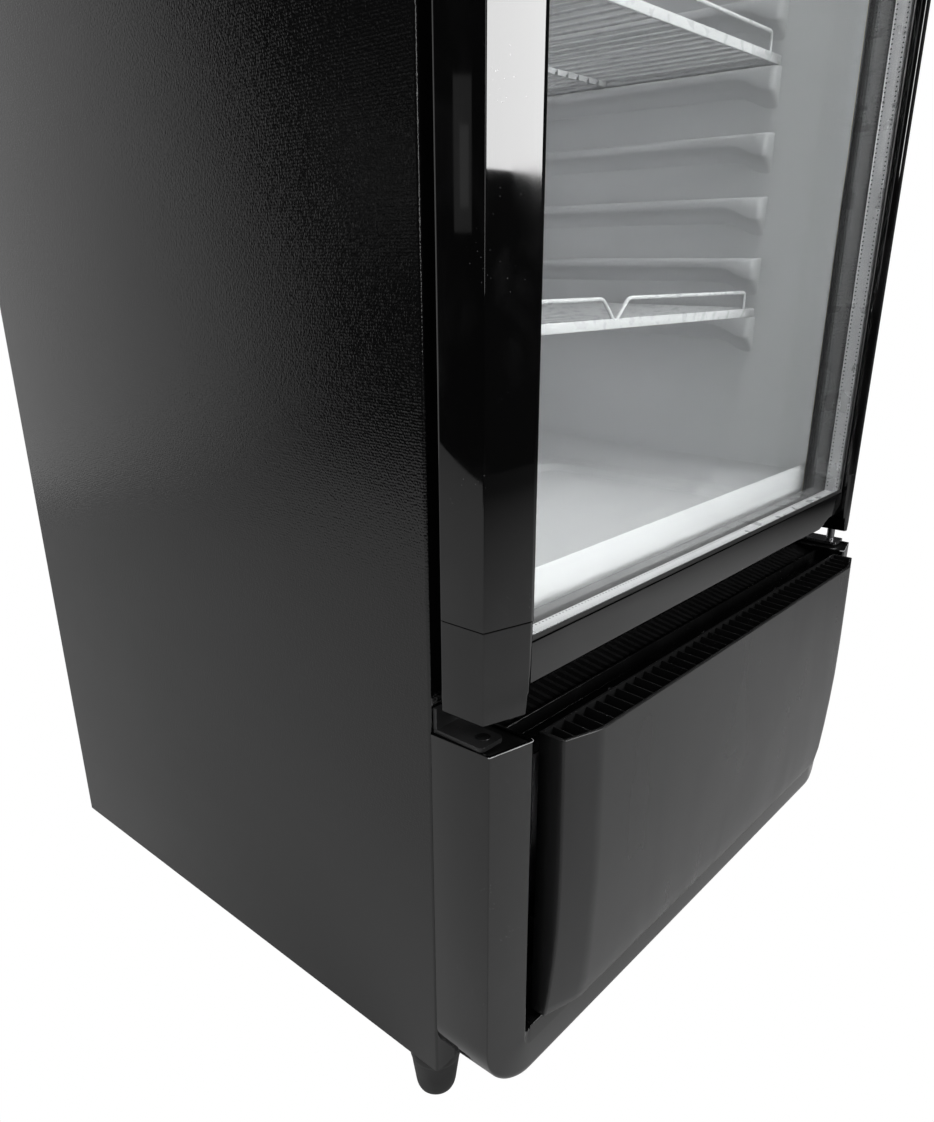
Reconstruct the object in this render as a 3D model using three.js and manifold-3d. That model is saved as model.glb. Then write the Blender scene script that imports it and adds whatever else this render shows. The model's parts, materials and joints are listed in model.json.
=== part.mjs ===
// Glass door merchandiser: a single-door upright display refrigerator with a header light box.
// Millimetres, +Z up. The front faces -Y. The origin is on the floor, at the middle of the footprint.
// Inside the cabinet group y = 0 is the front face of the body and x = 0 its middle.
import * as THREE from "three";
import { mergeVertices } from "three/addons/utils/BufferGeometryUtils.js";
import Module from "manifold-3d";

const wasm = await Module();
wasm.setup();

// ---- driving dimensions ----
const WIDTH = 620; // body, outside
const DEPTH = 551; // body, front face to back
const HEIGHT = 1935; // floor to top
const HALF = WIDTH / 2;
const FOOT_H = 44; // floor to underside of the body
const SHEET = 1.2; // outer sheet steel
const FIT = 0.4; // gap between touching pieces
const PANEL_FRONT = 82; // grille panel's front, ahead of the body

// door
const DOOR_BOTTOM = 362.5;
const DOOR_TOP = 1728;
const CAP_H = 62.5; // moulded end caps of the door's upright profiles
const DOOR_BACK = 9.5; // gap that the gasket fills
const DOOR_SIDE = 44.5; // where the side face turns into the bevel
const DOOR_NOSE = 53.8; // most forward point of the door
const STILE_W = 41; // width of the door's upright profiles
const GLASS_FRONT = 44;
const PANE = 4;
const SPACER_W = 15;
const HINGE_IN = 15.5; // hinge pin from the body's side
const HINGE_FWD = 32; // hinge pin ahead of the body
const PIN_R = 4;

// cabinet interior
const WALL = 41; // body side to inner wall
const FLOOR_Z = 394.5;
const CEILING_Z = 1700;
const BACK_Y = 506;
const LINER = 2;
const LEDGE_FIRST = 577.2; // top of the lowest shelf ledge
const LEDGE_PITCH = 57.9;
const LEDGE_COUNT = 19;
const LEDGE_FRONT = 78;
const LEDGE_BACK = 490;
const LEDGE_OUT = 14;
const SHELF_EVERY = 4; // a shelf on every fourth ledge
const SHELF_COUNT = 4;

// lower frame, grille and machine space
const FRAME_TOP = 342;
const FRAME_BOTTOM = 49.4;
const FRAME_CORNER_R = 45;
const FRAME_FWD = 56.3;
const UPRIGHT_W = 39;
const OPENING_BOTTOM = 95;
const GRILLE_TOP = 340.7;
const GRILLE_BOTTOM = 96.2;
const GRILLE_HALF = 257.9;
const BEVEL_IN = 30.2;
const BEVEL_BACK = 9.6;
const FOAM_BOTTOM = 347;
const FOAM_TOP = 1745;
const HEADER_BOTTOM = 1736;

// ---- materials ----
const paint = (color, roughness, metalness = 0) =>
  new THREE.MeshStandardMaterial({ color, roughness, metalness });
const embossedSteel = paint(0x17181a, 0.45, 0.3);
const plainSteel = paint(0x8f9294, 0.4, 0.9);
const glossBlack = paint(0x050506, 0.06);
const matteBlack = paint(0x0b0b0c, 0.5);
const charcoal = paint(0x2b2c2d, 0.4);
const linerWhite = paint(0xc9cbcc, 0.4);
const foamYellow = paint(0xd9c98a, 0.9);
const wireWhite = paint(0xe8e9e9, 0.35);
const rubber = paint(0x0d0d0d, 0.8);
const aluminium = paint(0xb9bcbe, 0.35, 0.9);
const brightSteel = paint(0xc4c6c8, 0.25, 1);
const copper = paint(0xa8643c, 0.35, 0.9);
const diffuser = paint(0xf4f4f2, 0.5);
const clearGlass = new THREE.MeshStandardMaterial({
  color: 0xf2f6f6,
  roughness: 0.02,
  transparent: true,
  opacity: 0.2,
});

// ---- solid helpers: each returns a manifold solid ----
function solid(geometry) {
  const bare = geometry.clone();
  bare.deleteAttribute("normal");
  bare.deleteAttribute("uv");
  const merged = mergeVertices(bare, 1e-4);
  return new wasm.Manifold(
    new wasm.Mesh({
      numProp: 3,
      vertProperties: new Float32Array(merged.attributes.position.array),
      triVerts: new Uint32Array(merged.index.array),
    }),
  );
}

function block(x0, x1, y0, y1, z0, z1) {
  const box = new THREE.BoxGeometry(x1 - x0, y1 - y0, z1 - z0);
  return solid(box.translate((x0 + x1) / 2, (y0 + y1) / 2, (z0 + z1) / 2));
}

function outline(points, hole) {
  const shape = new THREE.Shape(points.map(([a, b]) => new THREE.Vector2(a, b)));
  if (hole) shape.holes.push(new THREE.Path(hole.map(([a, b]) => new THREE.Vector2(a, b))));
  return shape;
}

// A plan outline (x, y) extruded from z0 to z1.
function planPrism(shape, z0, z1) {
  const geometry = new THREE.ExtrudeGeometry(shape, { depth: z1 - z0, bevelEnabled: false, curveSegments: 6 });
  return solid(geometry.translate(0, 0, z0));
}

// A front outline (x, z) extruded from y0 back to y1.
function frontPrism(shape, y0, y1) {
  const geometry = new THREE.ExtrudeGeometry(shape, { depth: y1 - y0, bevelEnabled: false, curveSegments: 6 });
  return solid(geometry.rotateX(Math.PI / 2).translate(0, y1, 0));
}

// A side outline (y, z) extruded from x0 to x1.
function sidePrism(shape, x0, x1) {
  const geometry = new THREE.ExtrudeGeometry(shape, { depth: x1 - x0, bevelEnabled: false, curveSegments: 6 });
  geometry.rotateX(Math.PI / 2).rotateZ(Math.PI / 2);
  return solid(geometry.translate(x0, 0, 0));
}

function rod(radius, z0, z1, x, y, sides = 20) {
  const cylinder = new THREE.CylinderGeometry(radius, radius, z1 - z0, sides);
  return solid(cylinder.rotateX(Math.PI / 2).translate(x, y, (z0 + z1) / 2));
}

function rodAlongY(radius, y0, y1, x, z, sides = 24) {
  const cylinder = new THREE.CylinderGeometry(radius, radius, y1 - y0, sides);
  return solid(cylinder.translate(x, (y0 + y1) / 2, z));
}

function turned(profile, x, y, sides = 24) {
  const lathe = new THREE.LatheGeometry(profile.map(([r, z]) => new THREE.Vector2(r, z)), sides);
  return solid(lathe.rotateX(Math.PI / 2).translate(x, y, 0));
}

const join = (solids) => solids.reduce((all, next) => all.add(next));
const mirrorX = (s) => s.mirror([1, 0, 0]);
const mirrorPoints = (points) => [...points, ...points.map(([x, y]) => [-x, y]).reverse()];

// ---- scene ----
const cabinet = new THREE.Group();
cabinet.position.y = -(DEPTH - PANEL_FRONT) / 2;
const merchandiser = new THREE.Group();
merchandiser.name = "glass_door_merchandiser";
merchandiser.add(cabinet);

function place(name, shape, material) {
  const m = shape.getMesh();
  const geometry = new THREE.BufferGeometry();
  geometry.setAttribute("position", new THREE.BufferAttribute(new Float32Array(m.vertProperties), 3));
  geometry.setIndex(new THREE.BufferAttribute(new Uint32Array(m.triVerts), 1));
  geometry.computeVertexNormals();
  const mesh = new THREE.Mesh(geometry, material);
  mesh.name = name;
  cabinet.add(mesh);
}

// ---- outer casing ----
const RETURN_W = 20; // folded edge of a side panel, seen from the front
function sidePanel() {
  const plan = [
    [-HALF, 0],
    [-HALF + RETURN_W, 0],
    [-HALF + RETURN_W, SHEET],
    [-HALF + SHEET, SHEET],
    [-HALF + SHEET, DEPTH - SHEET],
    [-HALF + RETURN_W, DEPTH - SHEET],
    [-HALF + RETURN_W, DEPTH],
    [-HALF, DEPTH],
  ];
  return planPrism(outline(plan), FOOT_H, HEIGHT);
}

const INNER_HALF = HALF - SHEET - FIT; // between the two side sheets
const FRONT_HALF = HALF - RETURN_W - FIT; // between the folded edges

function rearPanel() {
  return block(-FRONT_HALF, FRONT_HALF, DEPTH - SHEET, DEPTH, FOAM_BOTTOM, HEIGHT - SHEET - FIT);
}

function topCover() {
  return block(-INNER_HALF, INNER_HALF, SHEET + FIT, DEPTH - SHEET - FIT, HEIGHT - SHEET, HEIGHT);
}

// Louvred sheet behind the compressor, with a cut-out for the power inlet.
const INLET = { x: 210, z: 84, w: 28, h: 22 };
function rearGrille() {
  const sheet = block(-FRONT_HALF, FRONT_HALF, DEPTH - SHEET, DEPTH, FOOT_H + SHEET, FOAM_BOTTOM - FIT);
  const slots = [];
  for (const x of [-190, -60, 70]) {
    for (let row = 0; row < 8; row++) {
      const z = 120 + row * 24;
      slots.push(block(x - 50, x + 50, DEPTH - 5, DEPTH + 5, z, z + 8));
    }
  }
  const hole = block(
    INLET.x - INLET.w / 2 - FIT,
    INLET.x + INLET.w / 2 + FIT,
    DEPTH - 5,
    DEPTH + 5,
    INLET.z - INLET.h / 2 - FIT,
    INLET.z + INLET.h / 2 + FIT,
  );
  return sheet.subtract(join([...slots, hole]));
}

function powerInlet() {
  const { x, z, w, h } = INLET;
  const body = block(x - w / 2, x + w / 2, DEPTH - 28, DEPTH, z - h / 2, z + h / 2);
  const flange = block(x - w / 2 - 6, x + w / 2 + 6, DEPTH - 4, DEPTH - SHEET - FIT, z - h / 2 - 3, z + h / 2 + 3);
  const well = block(x - w / 2 + 3, x + w / 2 - 3, DEPTH - 20, DEPTH + 2, z - h / 2 + 3, z + h / 2 - 3);
  const pins = [-6, 0, 6].map((dx) => block(x + dx - 1, x + dx + 1, DEPTH - 21, DEPTH - 4, z - 3, z + 3));
  return join([body.add(flange).subtract(well), ...pins]);
}

// ---- base ----
const FOOT_IN = 21; // front foot's axis from the body's side and front
const REAR_FOOT_IN = 62; // rear foot's axis from the body's side and back
const STUD_R = 4;
function baseTray() {
  const floor = block(-INNER_HALF, INNER_HALF, SHEET + FIT, DEPTH - SHEET - FIT, FOOT_H, FOOT_H + 2);
  const upstand = block(-FRONT_HALF, FRONT_HALF, 0, 2, FOOT_H, 118);
  const holes = footPlaces().map(([x, y]) => rod(STUD_R + 0.5, FOOT_H - 2, FOOT_H + 4, x, y));
  return floor.add(upstand).subtract(join(holes));
}

function footPlaces() {
  const x = HALF - FOOT_IN;
  const rearX = HALF - REAR_FOOT_IN;
  return [
    [-x, FOOT_IN + 1],
    [x, FOOT_IN + 1],
    [-rearX, DEPTH - REAR_FOOT_IN],
    [rearX, DEPTH - REAR_FOOT_IN],
  ];
}

// A tapered levelling foot on a threaded stud.
function foot(x, y) {
  const top = FOOT_H - FIT;
  const profile = [
    [0, 0],
    [13, 0],
    [15, 1.5],
    [16.2, 6],
    [20, 34],
    [20.4, top],
    [STUD_R, top],
    [STUD_R, top + 22],
    [0, top + 22],
  ];
  return turned(profile, x, y, 28);
}

// ---- gloss lower frame: an open-backed U round the grille ----
const framePlan = [
  [HALF, -FIT],
  [HALF - 2, -48.8],
  [HALF - 36.8, -FRAME_FWD],
];
const framePlanInner = [
  [HALF - 3, 2],
  [HALF - 5, -46.2],
  [HALF - 36.8, -FRAME_FWD + 3],
];

function frameFront(inset) {
  const x = HALF - inset;
  const z0 = FRAME_BOTTOM + inset;
  const r = FRAME_CORNER_R - inset;
  const inner = HALF - UPRIGHT_W + inset;
  const sill = OPENING_BOTTOM - inset;
  const shape = new THREE.Shape();
  shape.moveTo(-x, FRAME_TOP - inset);
  shape.lineTo(-x, z0 + r);
  shape.absarc(-x + r, z0 + r, r, Math.PI, Math.PI * 1.5, false);
  shape.absarc(x - r, z0 + r, r, Math.PI * 1.5, Math.PI * 2, false);
  shape.lineTo(x, FRAME_TOP - inset);
  shape.lineTo(inner, FRAME_TOP - inset);
  shape.lineTo(inner, sill);
  shape.lineTo(-inner, sill);
  shape.lineTo(-inner, FRAME_TOP - inset);
  return shape;
}

// Side outline with the toe rounded under.
function toe(inset) {
  const y = -FRAME_FWD + inset;
  const z = FRAME_BOTTOM + inset;
  const r = 12 - inset;
  const shape = new THREE.Shape();
  shape.moveTo(10, FRAME_TOP + 5);
  shape.lineTo(y, FRAME_TOP + 5);
  shape.lineTo(y, z + r);
  shape.absarc(y + r, z + r, r, Math.PI, Math.PI * 1.5, false);
  shape.lineTo(10, z);
  return shape;
}

function lowerFrame() {
  const outer = frontPrism(frameFront(0), -FRAME_FWD - 1, -FIT)
    .intersect(planPrism(outline(mirrorPoints(framePlan)), FRAME_BOTTOM - 1, FRAME_TOP + 1))
    .intersect(sidePrism(toe(0), -HALF - 1, HALF + 1));
  const hollow = frontPrism(frameFront(3), -FRAME_FWD + 3, 2)
    .intersect(planPrism(outline(mirrorPoints(framePlanInner)), FRAME_BOTTOM - 1, FRAME_TOP + 1))
    .intersect(sidePrism(toe(3), -HALF - 1, HALF + 1));
  return outer.subtract(hollow);
}

// ---- grille panel: a convex, bevelled cover with a comb of vanes along its top ----
const VANES = 39;
const grillePlan = [
  [GRILLE_HALF, -50],
  [GRILLE_HALF, -PANEL_FRONT + BEVEL_BACK],
  [GRILLE_HALF - BEVEL_IN, -PANEL_FRONT],
];

function grilleSide(inset) {
  const front = -PANEL_FRONT + inset;
  const shape = new THREE.Shape();
  shape.moveTo(-50 + inset, GRILLE_TOP + 1);
  shape.lineTo(front + 1.6, GRILLE_TOP + 1);
  shape.quadraticCurveTo(front - 1, 250, front + 0.6, 200);
  shape.quadraticCurveTo(front + 3.2, 138, front + 9 + inset / 2, GRILLE_BOTTOM + 6 + inset);
  shape.quadraticCurveTo(front + 11, GRILLE_BOTTOM + inset, front + 15, GRILLE_BOTTOM + inset);
  shape.lineTo(-50 + inset, GRILLE_BOTTOM + inset);
  return shape;
}

function grillePanel() {
  const skin = 2.5;
  const shell = planPrism(outline(mirrorPoints(grillePlan)), GRILLE_BOTTOM, GRILLE_TOP)
    .intersect(sidePrism(grilleSide(0), -HALF, HALF));
  const inner = [
    [GRILLE_HALF - skin, -45],
    [GRILLE_HALF - skin, -PANEL_FRONT + BEVEL_BACK + skin],
    [GRILLE_HALF - BEVEL_IN, -PANEL_FRONT + skin],
  ];
  const side = outline([
    [-40, GRILLE_TOP + 5],
    [-PANEL_FRONT + 4.2, GRILLE_TOP + 5],
    [-PANEL_FRONT + 2.6, 250],
    [-PANEL_FRONT + 6.2, 160],
    [-PANEL_FRONT + 13.5, GRILLE_BOTTOM + 8],
    [-40, GRILLE_BOTTOM + 8],
  ]);
  const hollow = planPrism(outline(mirrorPoints(inner)), GRILLE_BOTTOM, GRILLE_TOP + 2)
    .intersect(sidePrism(side, -HALF, HALF));
  const rim = block(-GRILLE_HALF + 1, GRILLE_HALF - 1, -52, -50, GRILLE_TOP - 16, GRILLE_TOP);
  const pieces = [shell.subtract(hollow), rim];
  const pitch = (2 * GRILLE_HALF) / (VANES + 1);
  for (let i = 1; i <= VANES; i++) {
    const x = -GRILLE_HALF + i * pitch;
    const reach = Math.max(0, Math.abs(x) - (GRILLE_HALF - BEVEL_IN)) * (BEVEL_BACK / BEVEL_IN);
    pieces.push(block(x - 0.8, x + 0.8, -PANEL_FRONT + 3.4 + reach, -51, GRILLE_TOP - 14, GRILLE_TOP - 2));
  }
  return join(pieces);
}

// Black air-intake ledge between the door and the grille panel, with slots in its slope.
function ventLedge() {
  const half = HALF - UPRIGHT_W - FIT;
  const section = outline([
    [-FIT, 341],
    [-24, 334],
    [-26, 338],
    [-28, 338],
    [-28, 326],
    [-49, 326],
    [-49, 323.5],
    [-25.5, 323.5],
    [-25.5, 331],
    [-FIT, 338],
  ]);
  const slots = [];
  for (let x = -250; x <= 250; x += 25) {
    slots.push(block(x - 4, x + 4, -20, -5, 325, 345));
  }
  return sidePrism(section, -half, half).subtract(join(slots));
}

// ---- hinge plates ----
const PLATE = 3;
function hingePlateLower(bore) {
  const leaf = block(HALF - 25, HALF - 2.5, -42, -FIT, FRAME_TOP + FIT, FRAME_TOP + FIT + PLATE);
  const leg = block(HALF - 25, HALF - 2.5, -FIT - PLATE, -FIT, FRAME_TOP + FIT, DOOR_BOTTOM - 2);
  return leaf.add(leg).subtract(rod(bore, FRAME_TOP - 2, FRAME_TOP + 8, HALF - HINGE_IN, -HINGE_FWD));
}

function hingePlateUpper() {
  const z0 = DOOR_TOP + 3;
  const leaf = block(HALF - 26, HALF - 2.5, -42, -FIT, z0, z0 + PLATE);
  const leg = block(HALF - 26, HALF - 2.5, -FIT - PLATE, -FIT, DOOR_TOP - 14, z0 + 1);
  return leaf.add(leg).subtract(rod(PIN_R + 0.3, z0 - 2, z0 + 6, HALF - HINGE_IN, -HINGE_FWD));
}

const hingePin = (z0, z1) => rod(PIN_R, z0, z1, HALF - HINGE_IN, -HINGE_FWD);

// ---- insulated body ----
const OPENING_HALF = HALF - WALL;
function insulationFoam() {
  const outer = block(-INNER_HALF, INNER_HALF, 2 + FIT, DEPTH - SHEET - FIT, FOAM_BOTTOM, FOAM_TOP);
  const wallOut = OPENING_HALF + LINER + FIT;
  const cavity = block(-wallOut, wallOut, -5, BACK_Y + LINER + 2 * FIT, FLOOR_Z - 8 - FIT, CEILING_Z + LINER + FIT);
  return outer.subtract(cavity);
}

// Breaker frame round the opening, carried up behind the header.
function frontCollar() {
  const plate = block(-FRONT_HALF, FRONT_HALF, 0, 2, FOAM_BOTTOM, HEIGHT - SHEET - FIT);
  return plate.subtract(block(-OPENING_HALF, OPENING_HALF, -2, 4, FLOOR_Z, CEILING_Z));
}

// Inner wall with a row of moulded shelf ledges.
function linerWall() {
  const wall = block(OPENING_HALF, OPENING_HALF + LINER, 2 + FIT, BACK_Y, FLOOR_Z + FIT, CEILING_Z - FIT);
  const pieces = [wall];
  for (let i = 0; i < LEDGE_COUNT; i++) {
    const top = LEDGE_FIRST + i * LEDGE_PITCH;
    const section = outline([
      [OPENING_HALF + 1, top],
      [OPENING_HALF - LEDGE_OUT, top],
      [OPENING_HALF - LEDGE_OUT, top - 7],
      [OPENING_HALF, top - 22],
      [OPENING_HALF + 1, top - 22],
    ]);
    pieces.push(frontPrism(section, LEDGE_FRONT, LEDGE_BACK));
  }
  return join(pieces);
}

function linerFloor() {
  const slab = block(-OPENING_HALF - LINER, OPENING_HALF + LINER, 2 + FIT, BACK_Y, FLOOR_Z - 8, FLOOR_Z);
  return slab.subtract(block(-228, 228, 44, 315, FLOOR_Z - 4, FLOOR_Z + 4));
}

const linerCeiling = () =>
  block(-OPENING_HALF - LINER, OPENING_HALF + LINER, 2 + FIT, BACK_Y, CEILING_Z, CEILING_Z + LINER);

const linerBack = () =>
  block(-OPENING_HALF - LINER, OPENING_HALF + LINER, BACK_Y + FIT, BACK_Y + FIT + LINER, FLOOR_Z - 8, CEILING_Z);

// Channel that carries cold air down the back wall.
function airDuct() {
  const plan = outline([
    [-170, BACK_Y - FIT],
    [-170, BACK_Y - 14],
    [170, BACK_Y - 14],
    [170, BACK_Y - FIT],
    [168, BACK_Y - FIT],
    [168, BACK_Y - 12],
    [-168, BACK_Y - 12],
    [-168, BACK_Y - FIT],
  ]);
  const outlets = [];
  for (let z = 470; z < 1500; z += 116) {
    for (const x of [-100, 0, 100]) outlets.push(block(x - 30, x + 30, BACK_Y - 20, BACK_Y - 5, z, z + 10));
  }
  return planPrism(plan, 430, 1560).subtract(join(outlets));
}

// ---- wire shelves ----
const SHELF = { half: 266, front: 78, back: 481, band: 8.2, wire: 3, guard: 18, wires: 15 };
function shelf(ledgeTop) {
  const { half, front, back, band, wire, guard, wires } = SHELF;
  const z0 = ledgeTop + FIT;
  const bandTop = z0 + band;
  const wireTop = bandTop + 0.8;
  const middle = (front + back) / 2;
  const pieces = [
    block(-half, half, front, front + 2.5, z0, bandTop),
    block(-half, half, back - 2.5, back, z0, bandTop),
    block(-half, half, middle - 1.25, middle + 1.25, z0, wireTop - wire + 0.6),
  ];
  const reach = half - 4;
  for (let i = 0; i < wires; i++) {
    const x = -reach + (i * 2 * reach) / (wires - 1);
    pieces.push(block(x - wire / 2, x + wire / 2, front + 1, back - 1, wireTop - wire, wireTop));
  }
  for (const side of [-1, 1]) {
    const [near, far] = [side * 9, side * (half - 22)];
    const [x0, x1] = [Math.min(near, far), Math.max(near, far)];
    const loop = block(x0 - 1.5, x1 + 1.5, front - 0.6, front + 2, bandTop - 4, bandTop + guard);
    pieces.push(loop.subtract(block(x0 + 1.5, x1 - 1.5, front - 5, front + 5, bandTop - 6, bandTop + guard - wire)));
  }
  return join(pieces);
}

// ---- door ----
// Plan section of an upright profile: side face, bevel, nose beside the glass, and a glass slot.
const stilePlan = [
  [0, -DOOR_BACK],
  [0.9, -DOOR_SIDE],
  [35.6, -DOOR_NOSE],
  [39.4, -53.2],
  [STILE_W, -50.6],
  [STILE_W, -GLASS_FRONT - FIT],
  [30, -GLASS_FRONT - FIT],
  [30, -20.6],
  [STILE_W, -20.6],
  [STILE_W, -DOOR_BACK],
];
const stileChamber = [
  [3, -12.5],
  [27, -12.5],
  [27, -48.3],
  [4, -42],
];
const leftStile = (points) => points.map(([u, y]) => [-HALF + u, y]);

function doorStile() {
  const shape = outline(leftStile(stilePlan), leftStile(stileChamber));
  return planPrism(shape, DOOR_BOTTOM + CAP_H + FIT, DOOR_TOP - CAP_H - FIT);
}

// End cap: the profile's outline, a little narrower, with an optional blind hole for the hinge pin.
function doorCap(z0, z1, pinFrom, pinTo) {
  const plan = [
    [0, -DOOR_BACK],
    [0.9, -DOOR_SIDE],
    [34.6, -DOOR_NOSE],
    [38, -52.6],
    [38.6, -50],
    [38.6, -DOOR_BACK],
  ];
  const glassSlot = block(-HALF + 30, -HALF + STILE_W, -GLASS_FRONT - FIT, -20.6, GLASS_LOW - FIT, z1 + 1);
  const cap = planPrism(outline(leftStile(plan)), z0, z1).subtract(glassSlot);
  if (pinFrom === undefined) return cap;
  return cap.subtract(rod(PIN_R + 0.4, pinFrom, pinTo, -HALF + HINGE_IN, -HINGE_FWD));
}

const RAIL_HALF = HALF - STILE_W + 2; // rails run between the end caps
const RAIL_FRONT = 46.6;
const RAIL_TOP = 405.8;
const RAIL_LOW = 375;
function doorRail() {
  const section = outline([
    [-DOOR_BACK, RAIL_LOW],
    [-RAIL_FRONT + 2, RAIL_LOW],
    [-RAIL_FRONT, RAIL_LOW + 2],
    [-RAIL_FRONT, RAIL_TOP],
    [-GLASS_FRONT - FIT, RAIL_TOP],
    [-GLASS_FRONT - FIT, RAIL_TOP - 14],
    [-20.6, RAIL_TOP - 14],
    [-20.6, RAIL_TOP + 2],
    [-DOOR_BACK, RAIL_TOP + 2],
  ]);
  return sidePrism(section, -RAIL_HALF, RAIL_HALF);
}

// The top rail and top caps mirror the bottom ones about the door's middle height.
const doorMiddle = (DOOR_BOTTOM + DOOR_TOP) / 2;
const flipUp = (s) => s.translate([0, 0, -doorMiddle]).mirror([0, 0, 1]).translate([0, 0, doorMiddle]);

const GLASS_HALF = HALF - 31;
const GLASS_LOW = RAIL_TOP - 13;
const GLASS_HIGH = 2 * doorMiddle - GLASS_LOW;
const pane = (front) => block(-GLASS_HALF, GLASS_HALF, -front, -front + PANE, GLASS_LOW, GLASS_HIGH);

function ringXZ(halfOut, lowOut, highOut, thick, y0, y1) {
  const outer = block(-halfOut, halfOut, y0, y1, lowOut, highOut);
  const hole = block(-halfOut + thick, halfOut - thick, y0 - 1, y1 + 1, lowOut + thick, highOut - thick);
  return outer.subtract(hole);
}

function glassSpacer() {
  const y0 = -GLASS_FRONT + PANE + 0.3;
  return ringXZ(GLASS_HALF, GLASS_LOW, GLASS_HIGH, 13, y0, y0 + SPACER_W - 0.6);
}

const doorGasket = () =>
  ringXZ(HALF - 22, 377, 2 * doorMiddle - 377, 17, -DOOR_BACK + FIT, -FIT);

// ---- header light box ----
function headerBox() {
  const top = HEIGHT - FIT;
  const shell = planPrism(outline(mirrorPoints(framePlan)), HEADER_BOTTOM, top);
  const hollow = planPrism(outline(mirrorPoints(framePlanInner)), HEADER_BOTTOM + 3, top - 3);
  const window_ = block(-262, 262, -FRAME_FWD - 2, -FRAME_FWD + 6, HEADER_BOTTOM + 24, top - 24);
  return shell.subtract(hollow).subtract(window_);
}

const headerSign = () =>
  block(-267, 267, -FRAME_FWD + 3 + FIT, -FRAME_FWD + 6 + FIT, HEADER_BOTTOM + 6, HEIGHT - 8);

// Lighting tube with a holder at each end, fixed to the body behind the sign.
function headerLamp() {
  const z = (HEADER_BOTTOM + HEIGHT) / 2;
  const tube = solid(new THREE.CylinderGeometry(8, 8, 460, 16).rotateZ(Math.PI / 2).translate(0, -24, z));
  const holders = [-236, 236].map((x) => block(x - 8, x + 8, -34, -FIT, z - 14, z + 14));
  const backbone = block(-240, 240, -4, -FIT, z - 10, z + 10);
  return join([tube, ...holders, backbone]);
}

// ---- refrigeration unit in the base ----
function compressor() {
  const [x, y] = [150, 400];
  const profile = [
    [0, 62],
    [70, 62],
    [78, 76],
    [80, 120],
    [80, 150],
    [72, 184],
    [48, 206],
    [0, 214],
  ];
  const feet = block(x - 95, x + 95, y - 60, y + 60, 52, 64);
  const plinths = [-80, 80].flatMap((dx) => [-45, 45].map((dy) => rod(9, 46.4, 53, x + dx, y + dy, 12)));
  const relay = block(x + 70, x + 100, y - 30, y + 30, 100, 150);
  return join([turned(profile, x, y, 28), feet, ...plinths, relay]);
}

const CONDENSER = { x0: -240, x1: 40, y0: 40, y1: 100, z0: 60, z1: 310 };
function finnedCoil({ x0, x1, y0, y1, z0, z1 }, fins, depthOfFin) {
  const core = block(x0, x1, y0 + depthOfFin, y1 - depthOfFin, z0 + 2, z1 - 2);
  const pieces = [core];
  for (let i = 0; i <= fins; i++) {
    const x = x0 + (i * (x1 - x0 - 2)) / fins;
    pieces.push(block(x, x + 2, y0, y1, z0, z1));
  }
  return join(pieces);
}

const FAN_R = 100;
const FAN_AT = { x: (CONDENSER.x0 + CONDENSER.x1) / 2, z: (CONDENSER.z0 + CONDENSER.z1) / 2 };
function condenserFanShroud() {
  const { x0, x1, z0, z1, y1 } = CONDENSER;
  const box = block(x0, x1, y1 + FIT, y1 + 60, z0, z1);
  const inside = block(x0 + 2, x1 - 2, y1 - 5, y1 + 58, z0 + 2, z1 - 2);
  const hole = rodAlongY(FAN_R + 6, y1 + 50, y1 + 70, FAN_AT.x, FAN_AT.z, 32);
  const arms = block(FAN_AT.x - 125, FAN_AT.x + 125, y1 + 74, y1 + 78, FAN_AT.z - 6, FAN_AT.z + 6);
  const posts = [-118, 118].map((dx) =>
    block(FAN_AT.x + dx - 4, FAN_AT.x + dx + 4, y1 + 56, y1 + 78, FAN_AT.z - 6, FAN_AT.z + 6),
  );
  const shaftHole = rodAlongY(4.5, y1 + 70, y1 + 82, FAN_AT.x, FAN_AT.z, 16);
  return join([box.subtract(inside).subtract(hole), arms, ...posts]).subtract(shaftHole);
}

// Five pitched blades on a hub, turning about an axis along Y.
function fanBlades(radius, y0, x, z) {
  const pieces = [rodAlongY(radius * 0.24, y0, y0 + 16, x, z, 20)];
  for (let i = 0; i < 5; i++) {
    const blade = new THREE.BoxGeometry(radius * 0.8, 2, radius * 0.42);
    blade.rotateX(0.42).translate(radius * 0.56, 0, 0).rotateY((i * 2 * Math.PI) / 5);
    pieces.push(solid(blade.translate(x, y0 + 8, z)));
  }
  return join(pieces);
}

function fanMotor(y0, y1, x, z, radius, shaftTo) {
  return rodAlongY(radius, y0, y1, x, z).add(rodAlongY(3, shaftTo, y0 + 2, x, z, 12));
}

function condenserFanMotor() {
  const y = CONDENSER.y1;
  return fanMotor(y + 78 + FIT, y + 118, FAN_AT.x, FAN_AT.z, 32, y + 48 + FIT);
}

// Open tray that catches the defrost water beside the compressor.
function dripTray() {
  const tray = block(-230, 30, 330, 520, 50, 90);
  return tray.subtract(block(-227, 27, 333, 517, 53, 95));
}

function dischargeLine() {
  const route = new THREE.CatmullRomCurve3([
    new THREE.Vector3(130, 318.6, 150),
    new THREE.Vector3(130, 290, 150),
    new THREE.Vector3(118, 250, 170),
    new THREE.Vector3(80, 160, 200),
    new THREE.Vector3(66, 90, 220),
    new THREE.Vector3(60, 70, 222),
    new THREE.Vector3(40.6, 70, 222),
  ]);
  const circle = new THREE.Shape().absarc(0, 0, 3, 0, Math.PI * 2, false);
  return solid(new THREE.ExtrudeGeometry(circle, { steps: 28, extrudePath: route, curveSegments: 4 }));
}

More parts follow.
